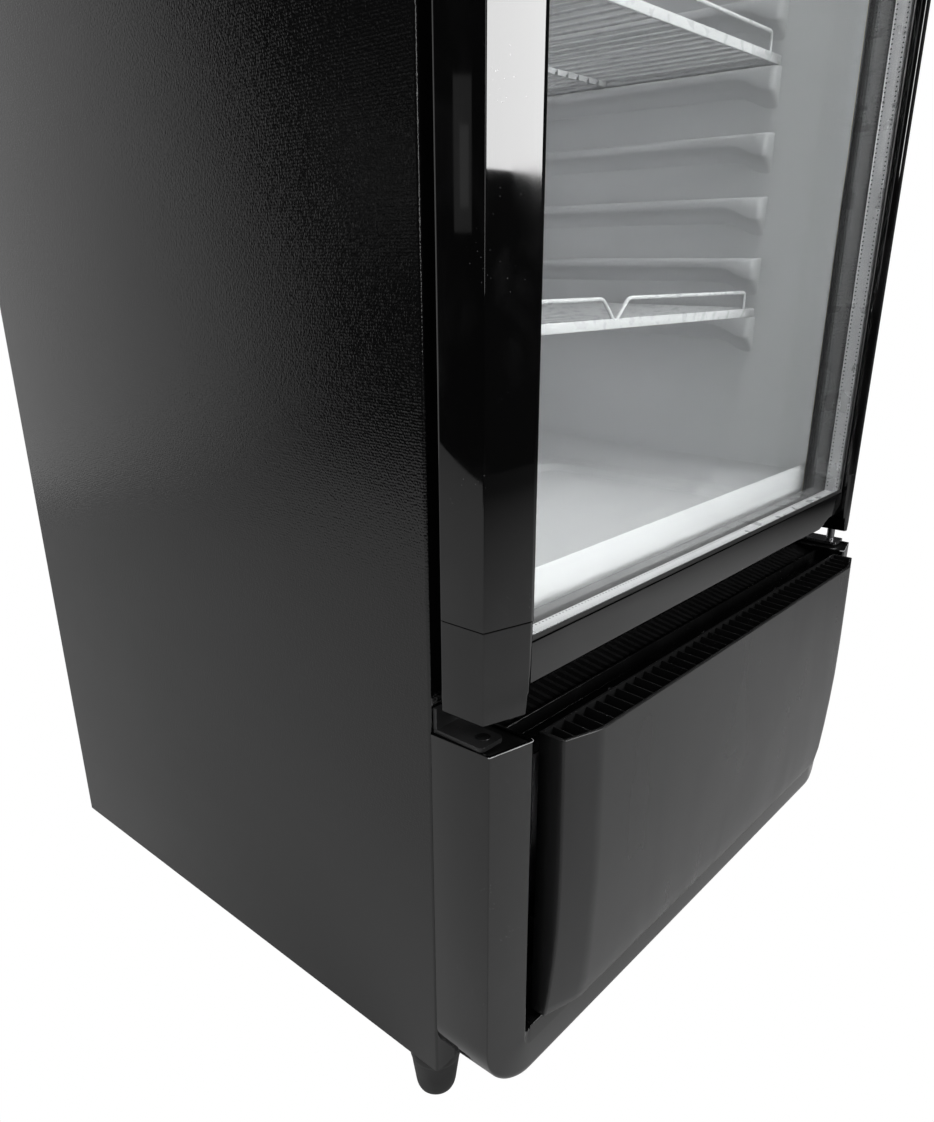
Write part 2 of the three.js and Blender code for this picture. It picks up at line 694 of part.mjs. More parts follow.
// ---- evaporator at the top of the interior ----
const EVAP = { half: 235, y0: 300, y1: 505, z0: 1572, z1: CEILING_Z - FIT };
const EVAP_FAN = { x: 0, z: 1636, y: 318 };
function evaporatorHousing() {
  const { half, y0, y1, z0, z1 } = EVAP;
  const box = block(-half, half, y0, y1, z0, z1);
  const inside = block(-half + 2, half - 2, y0 + 2, y1 - 2, z0 + 2, z1 + 5);
  const intake = rodAlongY(50, y0 - 5, y0 + 5, EVAP_FAN.x, EVAP_FAN.z, 28);
  const outlet = block(-160, 160, y1 - 26, y1 - 4, z0 - 5, z0 + 5);
  return box.subtract(join([inside, intake, outlet]));
}

const evaporatorFanMotor = () => fanMotor(348, 380, EVAP_FAN.x, EVAP_FAN.z, 22, EVAP_FAN.y + 16 + FIT);

const evaporatorCoil = () =>
  finnedCoil({ x0: -200, x1: 200, y0: 392, y1: 472, z0: 1584, z1: 1688 }, 24, 5);

// ---- controls on the interior ceiling ----
const CONTROL = { x0: 80, x1: 220, y0: 14, y1: 74, z0: 1662 };
const KNOB = { x: 185, z: 1680 };
const ROCKER = { x: 125, z: 1680, y: 12.6 };
function controlBox() {
  const { x0, x1, y0, y1, z0 } = CONTROL;
  const box = block(x0, x1, y0, y1, z0, CEILING_Z - FIT);
  const inside = block(x0 + 2, x1 - 2, y0 + 2, y1 + 5, z0 + 2, CEILING_Z - 2);
  const shaftHole = rodAlongY(3.6, y0 - 3, y0 + 4, KNOB.x, KNOB.z, 16);
  const rockerHole = block(ROCKER.x - 11, ROCKER.x + 11, y0 - 3, y0 + 4, ROCKER.z - 8, ROCKER.z + 8);
  return box.subtract(join([inside, shaftHole, rockerHole]));
}

function thermostatKnob() {
  const skirt = rodAlongY(14, 3, 8, KNOB.x, KNOB.z, 28);
  const shaft = rodAlongY(3, 7, 20, KNOB.x, KNOB.z, 12);
  const grip = block(KNOB.x - 2.5, KNOB.x + 2.5, -1, 4, KNOB.z - 12, KNOB.z + 12);
  return join([skirt, shaft, grip]);
}

// A rocker with a shallow V front, pivoting about a line along X.
function lightSwitch() {
  const { x, y, z } = ROCKER;
  const section = outline([
    [y + 7, z - 3],
    [y - 1, z - 7],
    [y, z],
    [y - 1, z + 7],
    [y + 7, z + 3],
  ]);
  return sidePrism(section, x - 10, x + 10);
}

// ---- assembly ----
place("side_panel_left", sidePanel(), embossedSteel);
place("side_panel_right", mirrorX(sidePanel()), embossedSteel);
place("rear_panel", rearPanel(), embossedSteel);
place("top_cover", topCover(), embossedSteel);
place("rear_grille", rearGrille(), embossedSteel);
place("power_inlet", powerInlet(), matteBlack);
place("base_tray", baseTray(), matteBlack);
place("lower_frame", lowerFrame(), glossBlack);
place("grille_panel", grillePanel(), charcoal);
place("vent_ledge", ventLedge(), matteBlack);

place("hinge_plate_lower_right", hingePlateLower(PIN_R + 0.3), brightSteel);
place("hinge_plate_lower_left", mirrorX(hingePlateLower(PIN_R - 0.5)), matteBlack);
place("hinge_plate_upper_right", hingePlateUpper(), brightSteel);
place("hinge_pin_lower", hingePin(FRAME_TOP + FIT, DOOR_BOTTOM + 18), brightSteel);
place("hinge_pin_upper", hingePin(DOOR_TOP - 18, DOOR_TOP + 6), brightSteel);

place("insulation_foam", insulationFoam(), foamYellow);
place("front_collar", frontCollar(), matteBlack);
place("liner_right", linerWall(), linerWhite);
place("liner_left", mirrorX(linerWall()), linerWhite);
place("liner_floor", linerFloor(), linerWhite);
place("liner_ceiling", linerCeiling(), linerWhite);
place("liner_back", linerBack(), linerWhite);
place("air_duct", airDuct(), linerWhite);

place("header_box", headerBox(), glossBlack);
place("header_sign", headerSign(), diffuser);
place("header_lamp", headerLamp(), diffuser);

place("compressor", compressor(), matteBlack);
place("condenser_coil", finnedCoil(CONDENSER, 24, 6), aluminium);
place("condenser_fan_shroud", condenserFanShroud(), matteBlack);
place("condenser_fan_motor", condenserFanMotor(), plainSteel);
place("condenser_fan_blade", fanBlades(FAN_R, CONDENSER.y1 + 32, FAN_AT.x, FAN_AT.z), aluminium);
place("drip_tray", dripTray(), matteBlack);
place("discharge_line", dischargeLine(), copper);

place("evaporator_housing", evaporatorHousing(), linerWhite);
place("evaporator_coil", evaporatorCoil(), aluminium);
place("evaporator_fan_motor", evaporatorFanMotor(), plainSteel);
place("evaporator_fan_blade", fanBlades(44, EVAP_FAN.y, EVAP_FAN.x, EVAP_FAN.z), matteBlack);
place("control_box", controlBox(), linerWhite);
place("thermostat_knob", thermostatKnob(), matteBlack);
place("light_switch", lightSwitch(), matteBlack);

place("door_stile_left", doorStile(), glossBlack);
place("door_stile_right", mirrorX(doorStile()), glossBlack);
place("door_rail_bottom", doorRail(), glossBlack);
place("door_rail_top", flipUp(doorRail()), glossBlack);
const lowCap = [DOOR_BOTTOM, DOOR_BOTTOM + CAP_H];
const pinHole = [DOOR_BOTTOM - 5, DOOR_BOTTOM + 20];
place("door_cap_bottom_left", doorCap(...lowCap), glossBlack);
place("door_cap_top_left", flipUp(doorCap(...lowCap)), glossBlack);
place("door_cap_bottom_right", mirrorX(doorCap(...lowCap, ...pinHole)), glossBlack);
place("door_cap_top_right", flipUp(mirrorX(doorCap(...lowCap, ...pinHole))), glossBlack);
place("glass_outer", pane(GLASS_FRONT), clearGlass);
place("glass_inner", pane(GLASS_FRONT - PANE - SPACER_W), clearGlass);
place("glass_spacer", glassSpacer(), aluminium);
place("door_gasket", doorGasket(), rubber);

["front_left", "front_right", "rear_left", "rear_right"].forEach((corner, i) => {
  place("foot_" + corner, foot(...footPlaces()[i]), matteBlack);
});
for (let i = 0; i < SHELF_COUNT; i++) {
  const ledgeTop = LEDGE_FIRST + i * SHELF_EVERY * LEDGE_PITCH;
  place("shelf_" + (i + 1), shelf(ledgeTop), wireWhite);
}

export default merchandiser;
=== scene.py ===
"""Looks of a single-door glass merchandiser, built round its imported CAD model. Sizes are in millimetres."""
import math

import bmesh
import bpy
from mathutils import Matrix, Quaternion, Vector
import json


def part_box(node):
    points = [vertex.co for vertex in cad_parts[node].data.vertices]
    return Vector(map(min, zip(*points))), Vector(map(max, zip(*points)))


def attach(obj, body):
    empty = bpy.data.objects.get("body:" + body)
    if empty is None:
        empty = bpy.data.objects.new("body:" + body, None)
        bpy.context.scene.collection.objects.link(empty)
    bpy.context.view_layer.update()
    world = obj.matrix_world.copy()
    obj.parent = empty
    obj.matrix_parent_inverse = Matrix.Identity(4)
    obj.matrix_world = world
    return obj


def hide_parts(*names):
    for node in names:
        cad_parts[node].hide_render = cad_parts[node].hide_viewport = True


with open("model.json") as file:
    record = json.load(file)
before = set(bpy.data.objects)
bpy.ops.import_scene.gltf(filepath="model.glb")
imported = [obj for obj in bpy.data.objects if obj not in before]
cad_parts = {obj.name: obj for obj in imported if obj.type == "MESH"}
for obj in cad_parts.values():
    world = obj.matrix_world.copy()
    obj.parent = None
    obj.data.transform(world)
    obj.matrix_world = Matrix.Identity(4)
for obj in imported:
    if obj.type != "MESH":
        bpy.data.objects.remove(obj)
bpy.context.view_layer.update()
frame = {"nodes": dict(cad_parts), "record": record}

MM = 0.001
BEVEL_FROM = 32  # edges sharper than this many degrees are rounded


def mm_box(node):
    """Lowest and highest corner of a CAD node, in millimetres."""
    low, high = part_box(node)
    return low / MM, high / MM


# ---- places taken from the CAD model ----
panel_low, panel_high = mm_box("side_panel_left")
stile_low, stile_high = mm_box("door_stile_left")
cap_low, cap_high = mm_box("door_cap_bottom_left")
cap_top_high = mm_box("door_cap_top_left")[1]
rail_low, rail_high = mm_box("door_rail_bottom")
frame_low, frame_high = mm_box("lower_frame")
grille_low, grille_high = mm_box("grille_panel")
ledge_high = mm_box("vent_ledge")[1]
plate_low, plate_high = mm_box("hinge_plate_lower_left")
spacer_low, spacer_high = mm_box("glass_spacer")
wall_high = mm_box("liner_right")[1]
floor_low, floor_high = mm_box("liner_floor")
back_low = mm_box("liner_back")[0]
ceiling_low = mm_box("liner_ceiling")[0]

HALF = -panel_low.x  # half the body's width
FRONT = panel_low.y  # the body's front face
BACK = panel_high.y
BODY_BOTTOM = panel_low.z
TOP = panel_high.z


# ---- mesh helpers: points in millimetres ----
def piece(name, points, faces, material, body, slot, stands_for=(), bevel=0, thick=0, smooth=35, flat=0):
    """A mesh piece that rides a body. bevel and thick are in millimetres, smooth and flat in degrees."""
    mesh = bpy.data.meshes.new(name)
    mesh.from_pydata([Vector(p) * MM for p in points], [], faces)
    work = bmesh.new()
    work.from_mesh(mesh)
    bmesh.ops.remove_doubles(work, verts=work.verts, dist=1e-7)
    if flat:
        bmesh.ops.dissolve_limit(work, angle_limit=math.radians(flat), verts=work.verts, edges=work.edges)
    bmesh.ops.recalc_face_normals(work, faces=work.faces)
    work.to_mesh(mesh)
    work.free()
    mesh.materials.append(material)
    mesh.shade_smooth()
    mesh.set_sharp_from_angle(angle=math.radians(smooth))
    obj = bpy.data.objects.new(name, mesh)
    bpy.context.scene.collection.objects.link(obj)
    if thick:
        shell = obj.modifiers.new("wall", "SOLIDIFY")
        shell.thickness = thick * MM
        shell.offset = -1
        shell.use_even_offset = True
    if bevel:
        edge = obj.modifiers.new("edges", "BEVEL")
        edge.width = bevel * MM
        edge.segments = 3
        edge.limit_method = "ANGLE"
        edge.angle_limit = math.radians(BEVEL_FROM)
    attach(obj, body)
    if stands_for:
        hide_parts(*stands_for)
    return obj


AXES = {"x": lambda a, b, t: (t, a, b), "y": lambda a, b, t: (a, t, b), "z": lambda a, b, t: (a, b, t)}


def prism(points, axis, low, high):
    """Points and faces of an outline drawn square to an axis and drawn out along it."""
    at = AXES[axis]
    count = len(points)
    verts = [at(a, b, low) for a, b in points] + [at(a, b, high) for a, b in points]
    faces = [(i, (i + 1) % count, (i + 1) % count + count, i + count) for i in range(count)]
    return verts, faces + [tuple(range(count)), tuple(range(2 * count - 1, count - 1, -1))]


def loft(rings, closed=True, caps=True):
    """Points and faces of a skin over rings that have the same number of points."""
    count = len(rings[0])
    verts = [p for ring in rings for p in ring]
    faces = []
    for r in range(len(rings) - 1):
        for i in range(count if closed else count - 1):
            j = (i + 1) % count
            faces.append((r * count + i, r * count + j, (r + 1) * count + j, (r + 1) * count + i))
    if caps:
        faces.append(tuple(range(count)))
        faces.append(tuple(range(len(verts) - 1, len(verts) - count - 1, -1)))
    return verts, faces


def box_mesh(x0, x1, y0, y1, z0, z1):
    return prism([(x0, y0), (x1, y0), (x1, y1), (x0, y1)], "z", z0, z1)


def mitred_frame(section, low, high):
    """A section of (distance in from the edge, y) run round the four sides of an upright rectangle."""
    rings = []
    for x, z, sx, sz in ((low.x, low.z, 1, 1), (high.x, low.z, -1, 1), (high.x, high.z, -1, -1),
                         (low.x, high.z, 1, -1)):
        rings.append([(x + sx * d, y, z + sz * d) for d, y in section])
    verts, faces = loft(rings, caps=False)
    count = len(section)
    last = len(verts) - count
    return verts, faces + [(last + i, last + (i + 1) % count, (i + 1) % count, i) for i in range(count)]


def merged(parts):
    """Several meshes as one."""
    verts, faces = [], []
    for part_verts, part_faces in parts:
        base = len(verts)
        verts += part_verts
        faces += [tuple(base + i for i in face) for face in part_faces]
    return verts, faces


def arc(cx, cy, radius, start, end, steps):
    """Points on an arc, angles in degrees."""
    turn = [math.radians(start + (end - start) * i / steps) for i in range(steps + 1)]
    return [(cx + radius * math.cos(t), cy + radius * math.sin(t)) for t in turn]


def corner_curve(start, here, end, steps):
    """Points of a smooth bend from start to end, drawn towards a corner."""
    run = [k / steps for k in range(steps + 1)]
    return [start * (1 - t) ** 2 + here * (2 * t * (1 - t)) + end * t * t for t in run]


def rounded(points, radii, steps=4):
    """An outline with each corner rounded to its own radius."""
    out = []
    count = len(points)
    for i, (x, y) in enumerate(points):
        radius = radii[i] if isinstance(radii, (list, tuple)) else radii
        here = Vector((x, y))
        to_last = Vector(points[i - 1]) - here
        to_next = Vector(points[(i + 1) % count]) - here
        if radius <= 0:
            out.append((x, y))
            continue
        half = to_last.angle(to_next) / 2
        reach = min(radius / math.tan(half), to_last.length * 0.49, to_next.length * 0.49)
        start = here + to_last.normalized() * reach
        end = here + to_next.normalized() * reach
        out += [(p.x, p.y) for p in corner_curve(start, here, end, steps)]
    return out


def lathe(profile, x, y, sides, caps=True):
    """A round piece about a vertical line."""
    rings = []
    for r, z in profile:
        turn = [2 * math.pi * i / sides for i in range(sides)]
        rings.append([(x + r * math.cos(t), y + r * math.sin(t), z) for t in turn])
    return loft(rings, caps=caps)


def soft_path(points, radius, steps=6):
    """An open path in space with its corners rounded."""
    out = [Vector(points[0])]
    for i in range(1, len(points) - 1):
        here = Vector(points[i])
        to_last = Vector(points[i - 1]) - here
        to_next = Vector(points[i + 1]) - here
        reach = min(radius, to_last.length * 0.49, to_next.length * 0.49)
        start = here + to_last.normalized() * reach
        end = here + to_next.normalized() * reach
        out += corner_curve(start, here, end, steps)
    return out + [Vector(points[-1])]


def wire(path, radius, sides=10):
    """A round wire along a path, closed at both ends."""
    path = [Vector(p) for p in path]
    rings = []
    side = None
    for i, here in enumerate(path):
        along = (path[min(i + 1, len(path) - 1)] - path[max(i - 1, 0)]).normalized()
        if side is None:
            side = along.orthogonal().normalized()
        side = (side - along * side.dot(along)).normalized()
        other = along.cross(side)
        turn = [2 * math.pi * k / sides for k in range(sides)]
        rings.append([tuple(here + (side * math.cos(t) + other * math.sin(t)) * radius) for t in turn])
    return loft(rings)


def mirrored(mesh):
    """The mesh reflected from left to right."""
    verts, faces = mesh
    return [(-x, y, z) for x, y, z in verts], [tuple(reversed(f)) for f in faces]


def flipped(mesh, middle):
    """The mesh turned upside down about a height."""
    verts, faces = mesh
    return [(x, y, 2 * middle - z) for x, y, z in verts], [tuple(reversed(f)) for f in faces]


def softened(node, material, body, bevel):
    """A CAD node's own shape with rounded edges and its flat faces joined."""
    source = frame["nodes"][node]
    points = [tuple(source.matrix_world @ v.co / MM) for v in source.data.vertices]
    faces = [tuple(p.vertices) for p in source.data.polygons]
    piece(node + "_soft", points, faces, material, body, SLOT_OF[node], [node], bevel=bevel, flat=1)


# ---- materials ----
def math_node(tree, operation, a, b):
    """A math node's result. a and b are numbers or sockets."""
    made = tree.nodes.new("ShaderNodeMath")
    made.operation = operation
    for socket, value in zip(made.inputs, (a, b)):
        if isinstance(value, (int, float)):
            socket.default_value = value
        else:
            tree.links.new(value, socket)
    return made.outputs["Value"]


class Looks:
    """A node material with short calls for the patterns used here."""

    def __init__(self, name, base, rough, metallic=0.0, specular=0.5):
        self.material = bpy.data.materials.new(name)
        self.material.use_nodes = True
        self.tree = self.material.node_tree
        self.shader = self.tree.nodes["Principled BSDF"]
        self.shader.inputs["Base Color"].default_value = (*base, 1)
        self.shader.inputs["Roughness"].default_value = rough
        self.shader.inputs["Metallic"].default_value = metallic
        self.shader.inputs["Specular IOR Level"].default_value = specular
        self.base = base
        self.rough = rough
        self.place = self.node("ShaderNodeTexCoord").outputs["Object"]

    def node(self, kind, **settings):
        made = self.tree.nodes.new(kind)
        for key, value in settings.items():
            setattr(made, key, value)
        return made

    def link(self, source, target):
        self.tree.links.new(source, target)

    def stretched(self, scale):
        mapping = self.node("ShaderNodeMapping")
        mapping.inputs["Scale"].default_value = scale
        self.link(self.place, mapping.inputs["Vector"])
        return mapping.outputs["Vector"]

    def noise(self, scale, detail=3.0, stretch=(1, 1, 1), distortion=0.0):
        made = self.node("ShaderNodeTexNoise")
        made.inputs["Scale"].default_value = scale
        made.inputs["Detail"].default_value = detail
        made.inputs["Distortion"].default_value = distortion
        self.link(self.stretched(stretch), made.inputs["Vector"])
        return made.outputs["Fac"]

    def cells(self, scale, stretch=(1, 1, 1), feature="F1", random=1.0):
        made = self.node("ShaderNodeTexVoronoi", feature=feature)
        made.inputs["Scale"].default_value = scale
        made.inputs["Randomness"].default_value = random
        self.link(self.stretched(stretch), made.inputs["Vector"])
        return made.outputs["Distance"]

    def span(self, source, low, high, to_low, to_high):
        made = self.node("ShaderNodeMapRange")
        limits = {"From Min": low, "From Max": high, "To Min": to_low, "To Max": to_high}
        for socket, value in limits.items():
            made.inputs[socket].default_value = value
        self.link(source, made.inputs["Value"])
        return made.outputs["Result"]

    def math(self, operation, a, b):
        return math_node(self.tree, operation, a, b)

    def roughness_from(self, source, to_low, to_high, low=0.3, high=0.7):
        self.link(self.span(source, low, high, to_low, to_high), self.shader.inputs["Roughness"])

    def colour_from(self, factor, a, b):
        made = self.node("ShaderNodeMix", data_type="RGBA")
        made.inputs["A"].default_value = (*a, 1)
        made.inputs["B"].default_value = (*b, 1)
        self.link(factor, made.inputs["Factor"])
        self.link(made.outputs["Result"], self.shader.inputs["Base Color"])

    def bump(self, *layers):
        """Each layer is (height source, strength, distance in millimetres)."""
        last = None
        for source, strength, distance in layers:
            made = self.node("ShaderNodeBump")
            made.inputs["Strength"].default_value = strength
            made.inputs["Distance"].default_value = distance * MM
            self.link(source, made.inputs["Height"])
            if last:
                self.link(last, made.inputs["Normal"])
            last = made.outputs["Normal"]
        self.link(last, self.shader.inputs["Normal"])


def grey(value):
    return (value, value, value * 1.02)


def embossed_steel():
    """Black sheet steel with a fine leather grain in upright rows."""
    looks = Looks("embossed_steel", grey(0.0025), 0.2)
    pebbles = looks.cells(700, (1.15, 1.15, 0.8), "SMOOTH_F1", 0.45)
    rows = looks.noise(800, 2, (1.0, 1.0, 0.4))
    waves = looks.noise(7, 2, (0.6, 0.6, 1.6))
    looks.bump((waves, 0.08, 8), (rows, 0.3, 0.16), (pebbles, 0.75, 0.28))
    looks.roughness_from(looks.noise(14, 4), 0.13, 0.18)
    return looks.material


def gloss_black():
    """Piano-black moulding: faint long waves, fine haze and sparse dust."""
    looks = Looks("gloss_black", grey(0.0015), 0.04)
    waves = looks.noise(9, 1, (1, 1, 0.5))
    looks.bump((waves, 0.06, 2.5))
    haze = looks.noise(22, 5, (1, 1, 0.6), 0.6)
    looks.roughness_from(haze, 0.03, 0.085, 0.45, 0.75)
    specks = looks.span(looks.cells(330), 0.0, 0.10, 1, 0)
    rare = looks.span(looks.noise(30, 2), 0.60, 0.66, 0, 1)
    smear = looks.span(haze, 0.5, 0.8, 0, 0.018)
    dust = looks.math("MAXIMUM", looks.math("MULTIPLY", specks, rare), smear)
    looks.colour_from(dust, grey(0.0015), grey(0.35))
    return looks.material


def charcoal_panel():
    """Satin charcoal moulding with soft upright smudges."""
    looks = Looks("charcoal_panel", grey(0.015), 0.3, specular=0.32)
    smudge = looks.noise(16, 3, (1, 1, 0.35), 0.4)
    looks.colour_from(looks.span(smudge, 0.40, 0.66, 0, 1), grey(0.012), grey(0.018))
    looks.roughness_from(smudge, 0.26, 0.36, 0.35)
    looks.bump((looks.noise(900, 2), 0.08, 0.1))
    return looks.material


def matte_black(name="matte_black", value=0.003, rough=0.42):
    looks = Looks(name, grey(value), rough, specular=0.35)
    looks.bump((looks.noise(700, 3), 0.15, 0.15))
    looks.roughness_from(looks.noise(40, 3), rough - 0.06, rough + 0.08)
    return looks.material


def bright_steel(name="bright_steel", value=0.55, rough=0.25):
    looks = Looks(name, grey(value), rough, 1.0)
    looks.bump((looks.noise(300, 3, (1, 1, 0.15)), 0.08, 0.1))
    looks.roughness_from(looks.noise(60, 4), rough - 0.06, rough + 0.1)
    return looks.material


def liner_white():
    """Vacuum-formed liner: satin, with a faint orange peel and broad unevenness."""
    looks = Looks("liner_white", grey(0.5), 0.32, specular=0.45)
    looks.colour_from(looks.noise(5, 3), grey(0.48), grey(0.53))
    looks.bump((looks.noise(6, 1, (1, 1, 0.5)), 0.1, 4), (looks.noise(420, 2), 0.06, 0.2))
    looks.roughness_from(looks.noise(20, 3), 0.28, 0.38)
    return looks.material


def coated_wire():
    looks = Looks("coated_wire", grey(0.44), 0.22)
    looks.bump((looks.noise(500, 2), 0.08, 0.15))
    looks.roughness_from(looks.noise(90, 2), 0.24, 0.36)
    return looks.material


def clear_glass():
    looks = Looks("clear_glass", (0.97, 0.985, 0.98), 0.0)
    looks.shader.inputs["Transmission Weight"].default_value = 1
    looks.shader.inputs["IOR"].default_value = 1.45
    return looks.material


def painted_highlight_and_wear():
    """A thin pale line: a painted highlight along the edges it trims, and worn paint on the hinge plate."""
    looks = Looks("painted_highlight_and_wear", grey(0.5), 0.35)
    looks.colour_from(looks.noise(60, 3), grey(0.25), grey(0.7))
    looks.bump((looks.noise(500, 2), 0.1, 0.1))
    return looks.material


def black_rubber():
    looks = Looks("black_rubber", grey(0.008), 0.5, specular=0.4)
    looks.bump((looks.noise(350, 3), 0.2, 0.2))
    looks.roughness_from(looks.noise(60, 2), 0.42, 0.6)
    return looks.material


def spacer_aluminium():
    looks = Looks("spacer_aluminium", grey(0.52), 0.3, 0.5)
    looks.bump((looks.noise(600, 2), 0.06, 0.1))
    looks.roughness_from(looks.noise(40, 3), 0.25, 0.36)
    return looks.material


def sheet_aluminium():
    looks = Looks("sheet_aluminium", grey(0.6), 0.35, 1.0)
    looks.bump((looks.noise(200, 3), 0.15, 0.2))
    looks.roughness_from(looks.noise(50, 3), 0.3, 0.45)
    return looks.material


def copper():
    looks = Looks("copper", (0.62, 0.3, 0.18), 0.3, 1.0)
    looks.colour_from(looks.noise(60, 4), (0.66, 0.33, 0.2), (0.45, 0.22, 0.14))
    looks.roughness_from(looks.noise(80, 3), 0.24, 0.4)
    return looks.material


def foam():
    looks = Looks("foam", (0.6, 0.5, 0.28), 0.9)
    looks.bump((looks.cells(260), 0.5, 0.8))
    looks.colour_from(looks.noise(40, 4), (0.62, 0.53, 0.3), (0.52, 0.43, 0.23))
    return looks.material


def diffuser():
    looks = Looks("diffuser", grey(0.6), 0.45)
    looks.colour_from(looks.noise(4, 2), grey(0.58), grey(0.62))
    looks.bump((looks.noise(500, 2), 0.05, 0.1))
    return looks.material


STEEL = embossed_steel()
GLOSS = gloss_black()
CHARCOAL = charcoal_panel()
MATTE = matte_black()
SATIN = matte_black("satin_black", 0.003, 0.25)
VANES = matte_black("vane_black", 0.007, 0.3)
PLATE_BLACK = matte_black("plate_black", 0.016, 0.3)
# pale edge trim: painted highlight, and worn paint on the hinge plate
HIGHLIGHT_AND_WEAR = painted_highlight_and_wear()
BRIGHT = bright_steel()
DARK_STEEL = bright_steel("dark_steel", 0.2, 0.3)
LINER = liner_white()
WIRE = coated_wire()
RUBBER = black_rubber()
SPACER = spacer_aluminium()

SLOT_LOOKS = {
    "embossed_steel": STEEL,
    "gloss_black": GLOSS,
    "charcoal_panel": CHARCOAL,
    "matte_black": MATTE,
    "black_steel": SATIN,
    "bright_steel": BRIGHT,
    "foam": foam(),
    "liner_white": LINER,
    "diffuser": diffuser(),
    "aluminium": sheet_aluminium(),
    "copper": copper(),
    "glass": clear_glass(),
    "rubber": RUBBER,
    "foot_plastic": MATTE,
    "coated_wire": WIRE,
}
SLOT_OF = {row["node"]: row["material_slot"] for row in frame["record"]["subparts"]}


def dress_cad_nodes():
    """Every CAD node gets the material of its slot."""
    for name, material_slot in SLOT_OF.items():
        node = frame["nodes"][name]
        node.data.materials.clear()
        node.data.materials.append(SLOT_LOOKS[material_slot])
    for name in ("glass_outer", "glass_inner"):
        frame["nodes"][name].visible_shadow = False


# ---- camera ----
CAMERA_AT = Vector((-676.9, -595.6, 629.2)) * MM
CAMERA_TURN = 40.896  # heading from +X towards +Y, degrees
CAMERA_DOWN = 21.337
CAMERA_ROLL = 0.154
CAMERA_LENS = 28.56
CAMERA_SHIFT = (-0.0123, 0.0449)


def add_camera():
    turn, down, roll = (math.radians(a) for a in (CAMERA_TURN, CAMERA_DOWN, CAMERA_ROLL))
    ahead = Vector((math.cos(turn), math.sin(turn), 0))
    forward = ahead * math.cos(down) + Vector((0, 0, -math.sin(down)))
    right = Vector((ahead.y, -ahead.x, 0))
    up = right.cross(forward)
    across = right * math.cos(roll) + up * math.sin(roll)
    upward = up * math.cos(roll) - right * math.sin(roll)
    data = bpy.data.cameras.new("camera")
    data.lens = CAMERA_LENS
    data.sensor_width = 36
    data.shift_x, data.shift_y = CAMERA_SHIFT
    camera = bpy.data.objects.new("camera", data)
    rotation = Matrix((across, upward, -forward)).transposed()
    camera.matrix_world = Matrix.Translation(CAMERA_AT) @ rotation.to_4x4()
    bpy.context.scene.collection.objects.link(camera)
    bpy.context.scene.camera = camera


# ---- outer casing ----
SHEET = 1.2
FOLD = 20
FOLD_R = 2.4


def side_panel():
    """A folded side sheet: the long face with rounded folds at front and back."""
    x = -HALF
    outer = [(x + FOLD, FRONT)] + arc(x + FOLD_R, FRONT + FOLD_R, FOLD_R, 270, 180, 6)
    outer += arc(x + FOLD_R, BACK - FOLD_R, FOLD_R, 180, 90, 6) + [(x + FOLD, BACK)]
    inner_r = FOLD_R - SHEET
    inner = [(x + FOLD, BACK - SHEET)] + arc(x + FOLD_R, BACK - FOLD_R, inner_r, 90, 180, 4)
    inner += arc(x + FOLD_R, FRONT + FOLD_R, inner_r, 180, 270, 4) + [(x + FOLD, FRONT + SHEET)]
    return prism(outer + inner, "z", BODY_BOTTOM, TOP)


def build_casing():
    left = side_panel()
    for side, mesh in (("left", left), ("right", mirrored(left))):
        node = "side_panel_" + side
        piece(node + "_sheet", *mesh, STEEL, "cabinet", "embossed_steel", [node])


# ---- door ----
DOOR_BACK = stile_high.y
DOOR_SIDE = stile_low.y + 9.3  # where the side face turns into the bevel
DOOR_NOSE = stile_low.y
PROFILE_W = stile_high.x - stile_low.x
PACK_FRONT = spacer_low.y - 4.9  # front of the slot that holds the glass pack
PACK_BACK = PACK_FRONT + 24.3


def profile_outline(width, nose_x):
    """Plan of an upright door profile: side face, bevel, rounded nose, return to the glass."""
    x = -HALF
    corners = [
        (x, DOOR_BACK),
        (x + 0.9, DOOR_SIDE),
        (x + nose_x, DOOR_NOSE),
        (x + nose_x + 3.6, DOOR_NOSE + 0.7),
        (x + width, DOOR_NOSE + 4),
        (x + width, DOOR_BACK),
    ]
    return rounded(corners, [2.4, 1.2, 2.5, 2.5, 1.2, 0.5])


def stile_outline():
    """The profile with a slot for the glass pack."""
    ring = profile_outline(PROFILE_W, 35.2)
    x = -HALF
    tip = ring[:-5]
    slot = [(PROFILE_W, PACK_FRONT), (30, PACK_FRONT), (30, PACK_BACK), (PROFILE_W, PACK_BACK)]
    return tip + [(x + a, y) for a, y in slot] + [(x + PROFILE_W, DOOR_BACK)]


def door_cap():
    """A moulded end cap: the inner edge steps back and tapers towards the bottom."""
    rings = []
    low, high = cap_low.z, cap_high.z
    stations = [(low, 4.4, 0.5), (low + 0.6, 4.0, 0.1), (low + 6, 3.4, 0), (low + 13, 2.6, 0)]
    stations += [(low + 15, 1.1, 0), (low + 30, 0.6, 0), (high - 1.0, 0, 0), (high - 0.3, 0, 0)]
    stations += [(high + 0.1, 0.1, 0.12)]
    for z, back, shrink in stations:
        ring = profile_outline(PROFILE_W - 1.6 - back, 34.8 - back * 0.9)
        middle = Vector((-HALF + 18, (DOOR_BACK + DOOR_NOSE) / 2))
        scaled = [middle + (Vector(p) - middle) * (1 - shrink / 20) for p in ring]
        rings.append([(p.x, p.y, z) for p in scaled])
    return loft(rings)


RAIL_NOTCH_FROM = 218  # the bottom rail's lower edge lifts beyond here, over the hinge plate
RAIL_LIFT = 7
RAIL_END = 4.5  # radius of the rail's lower corners


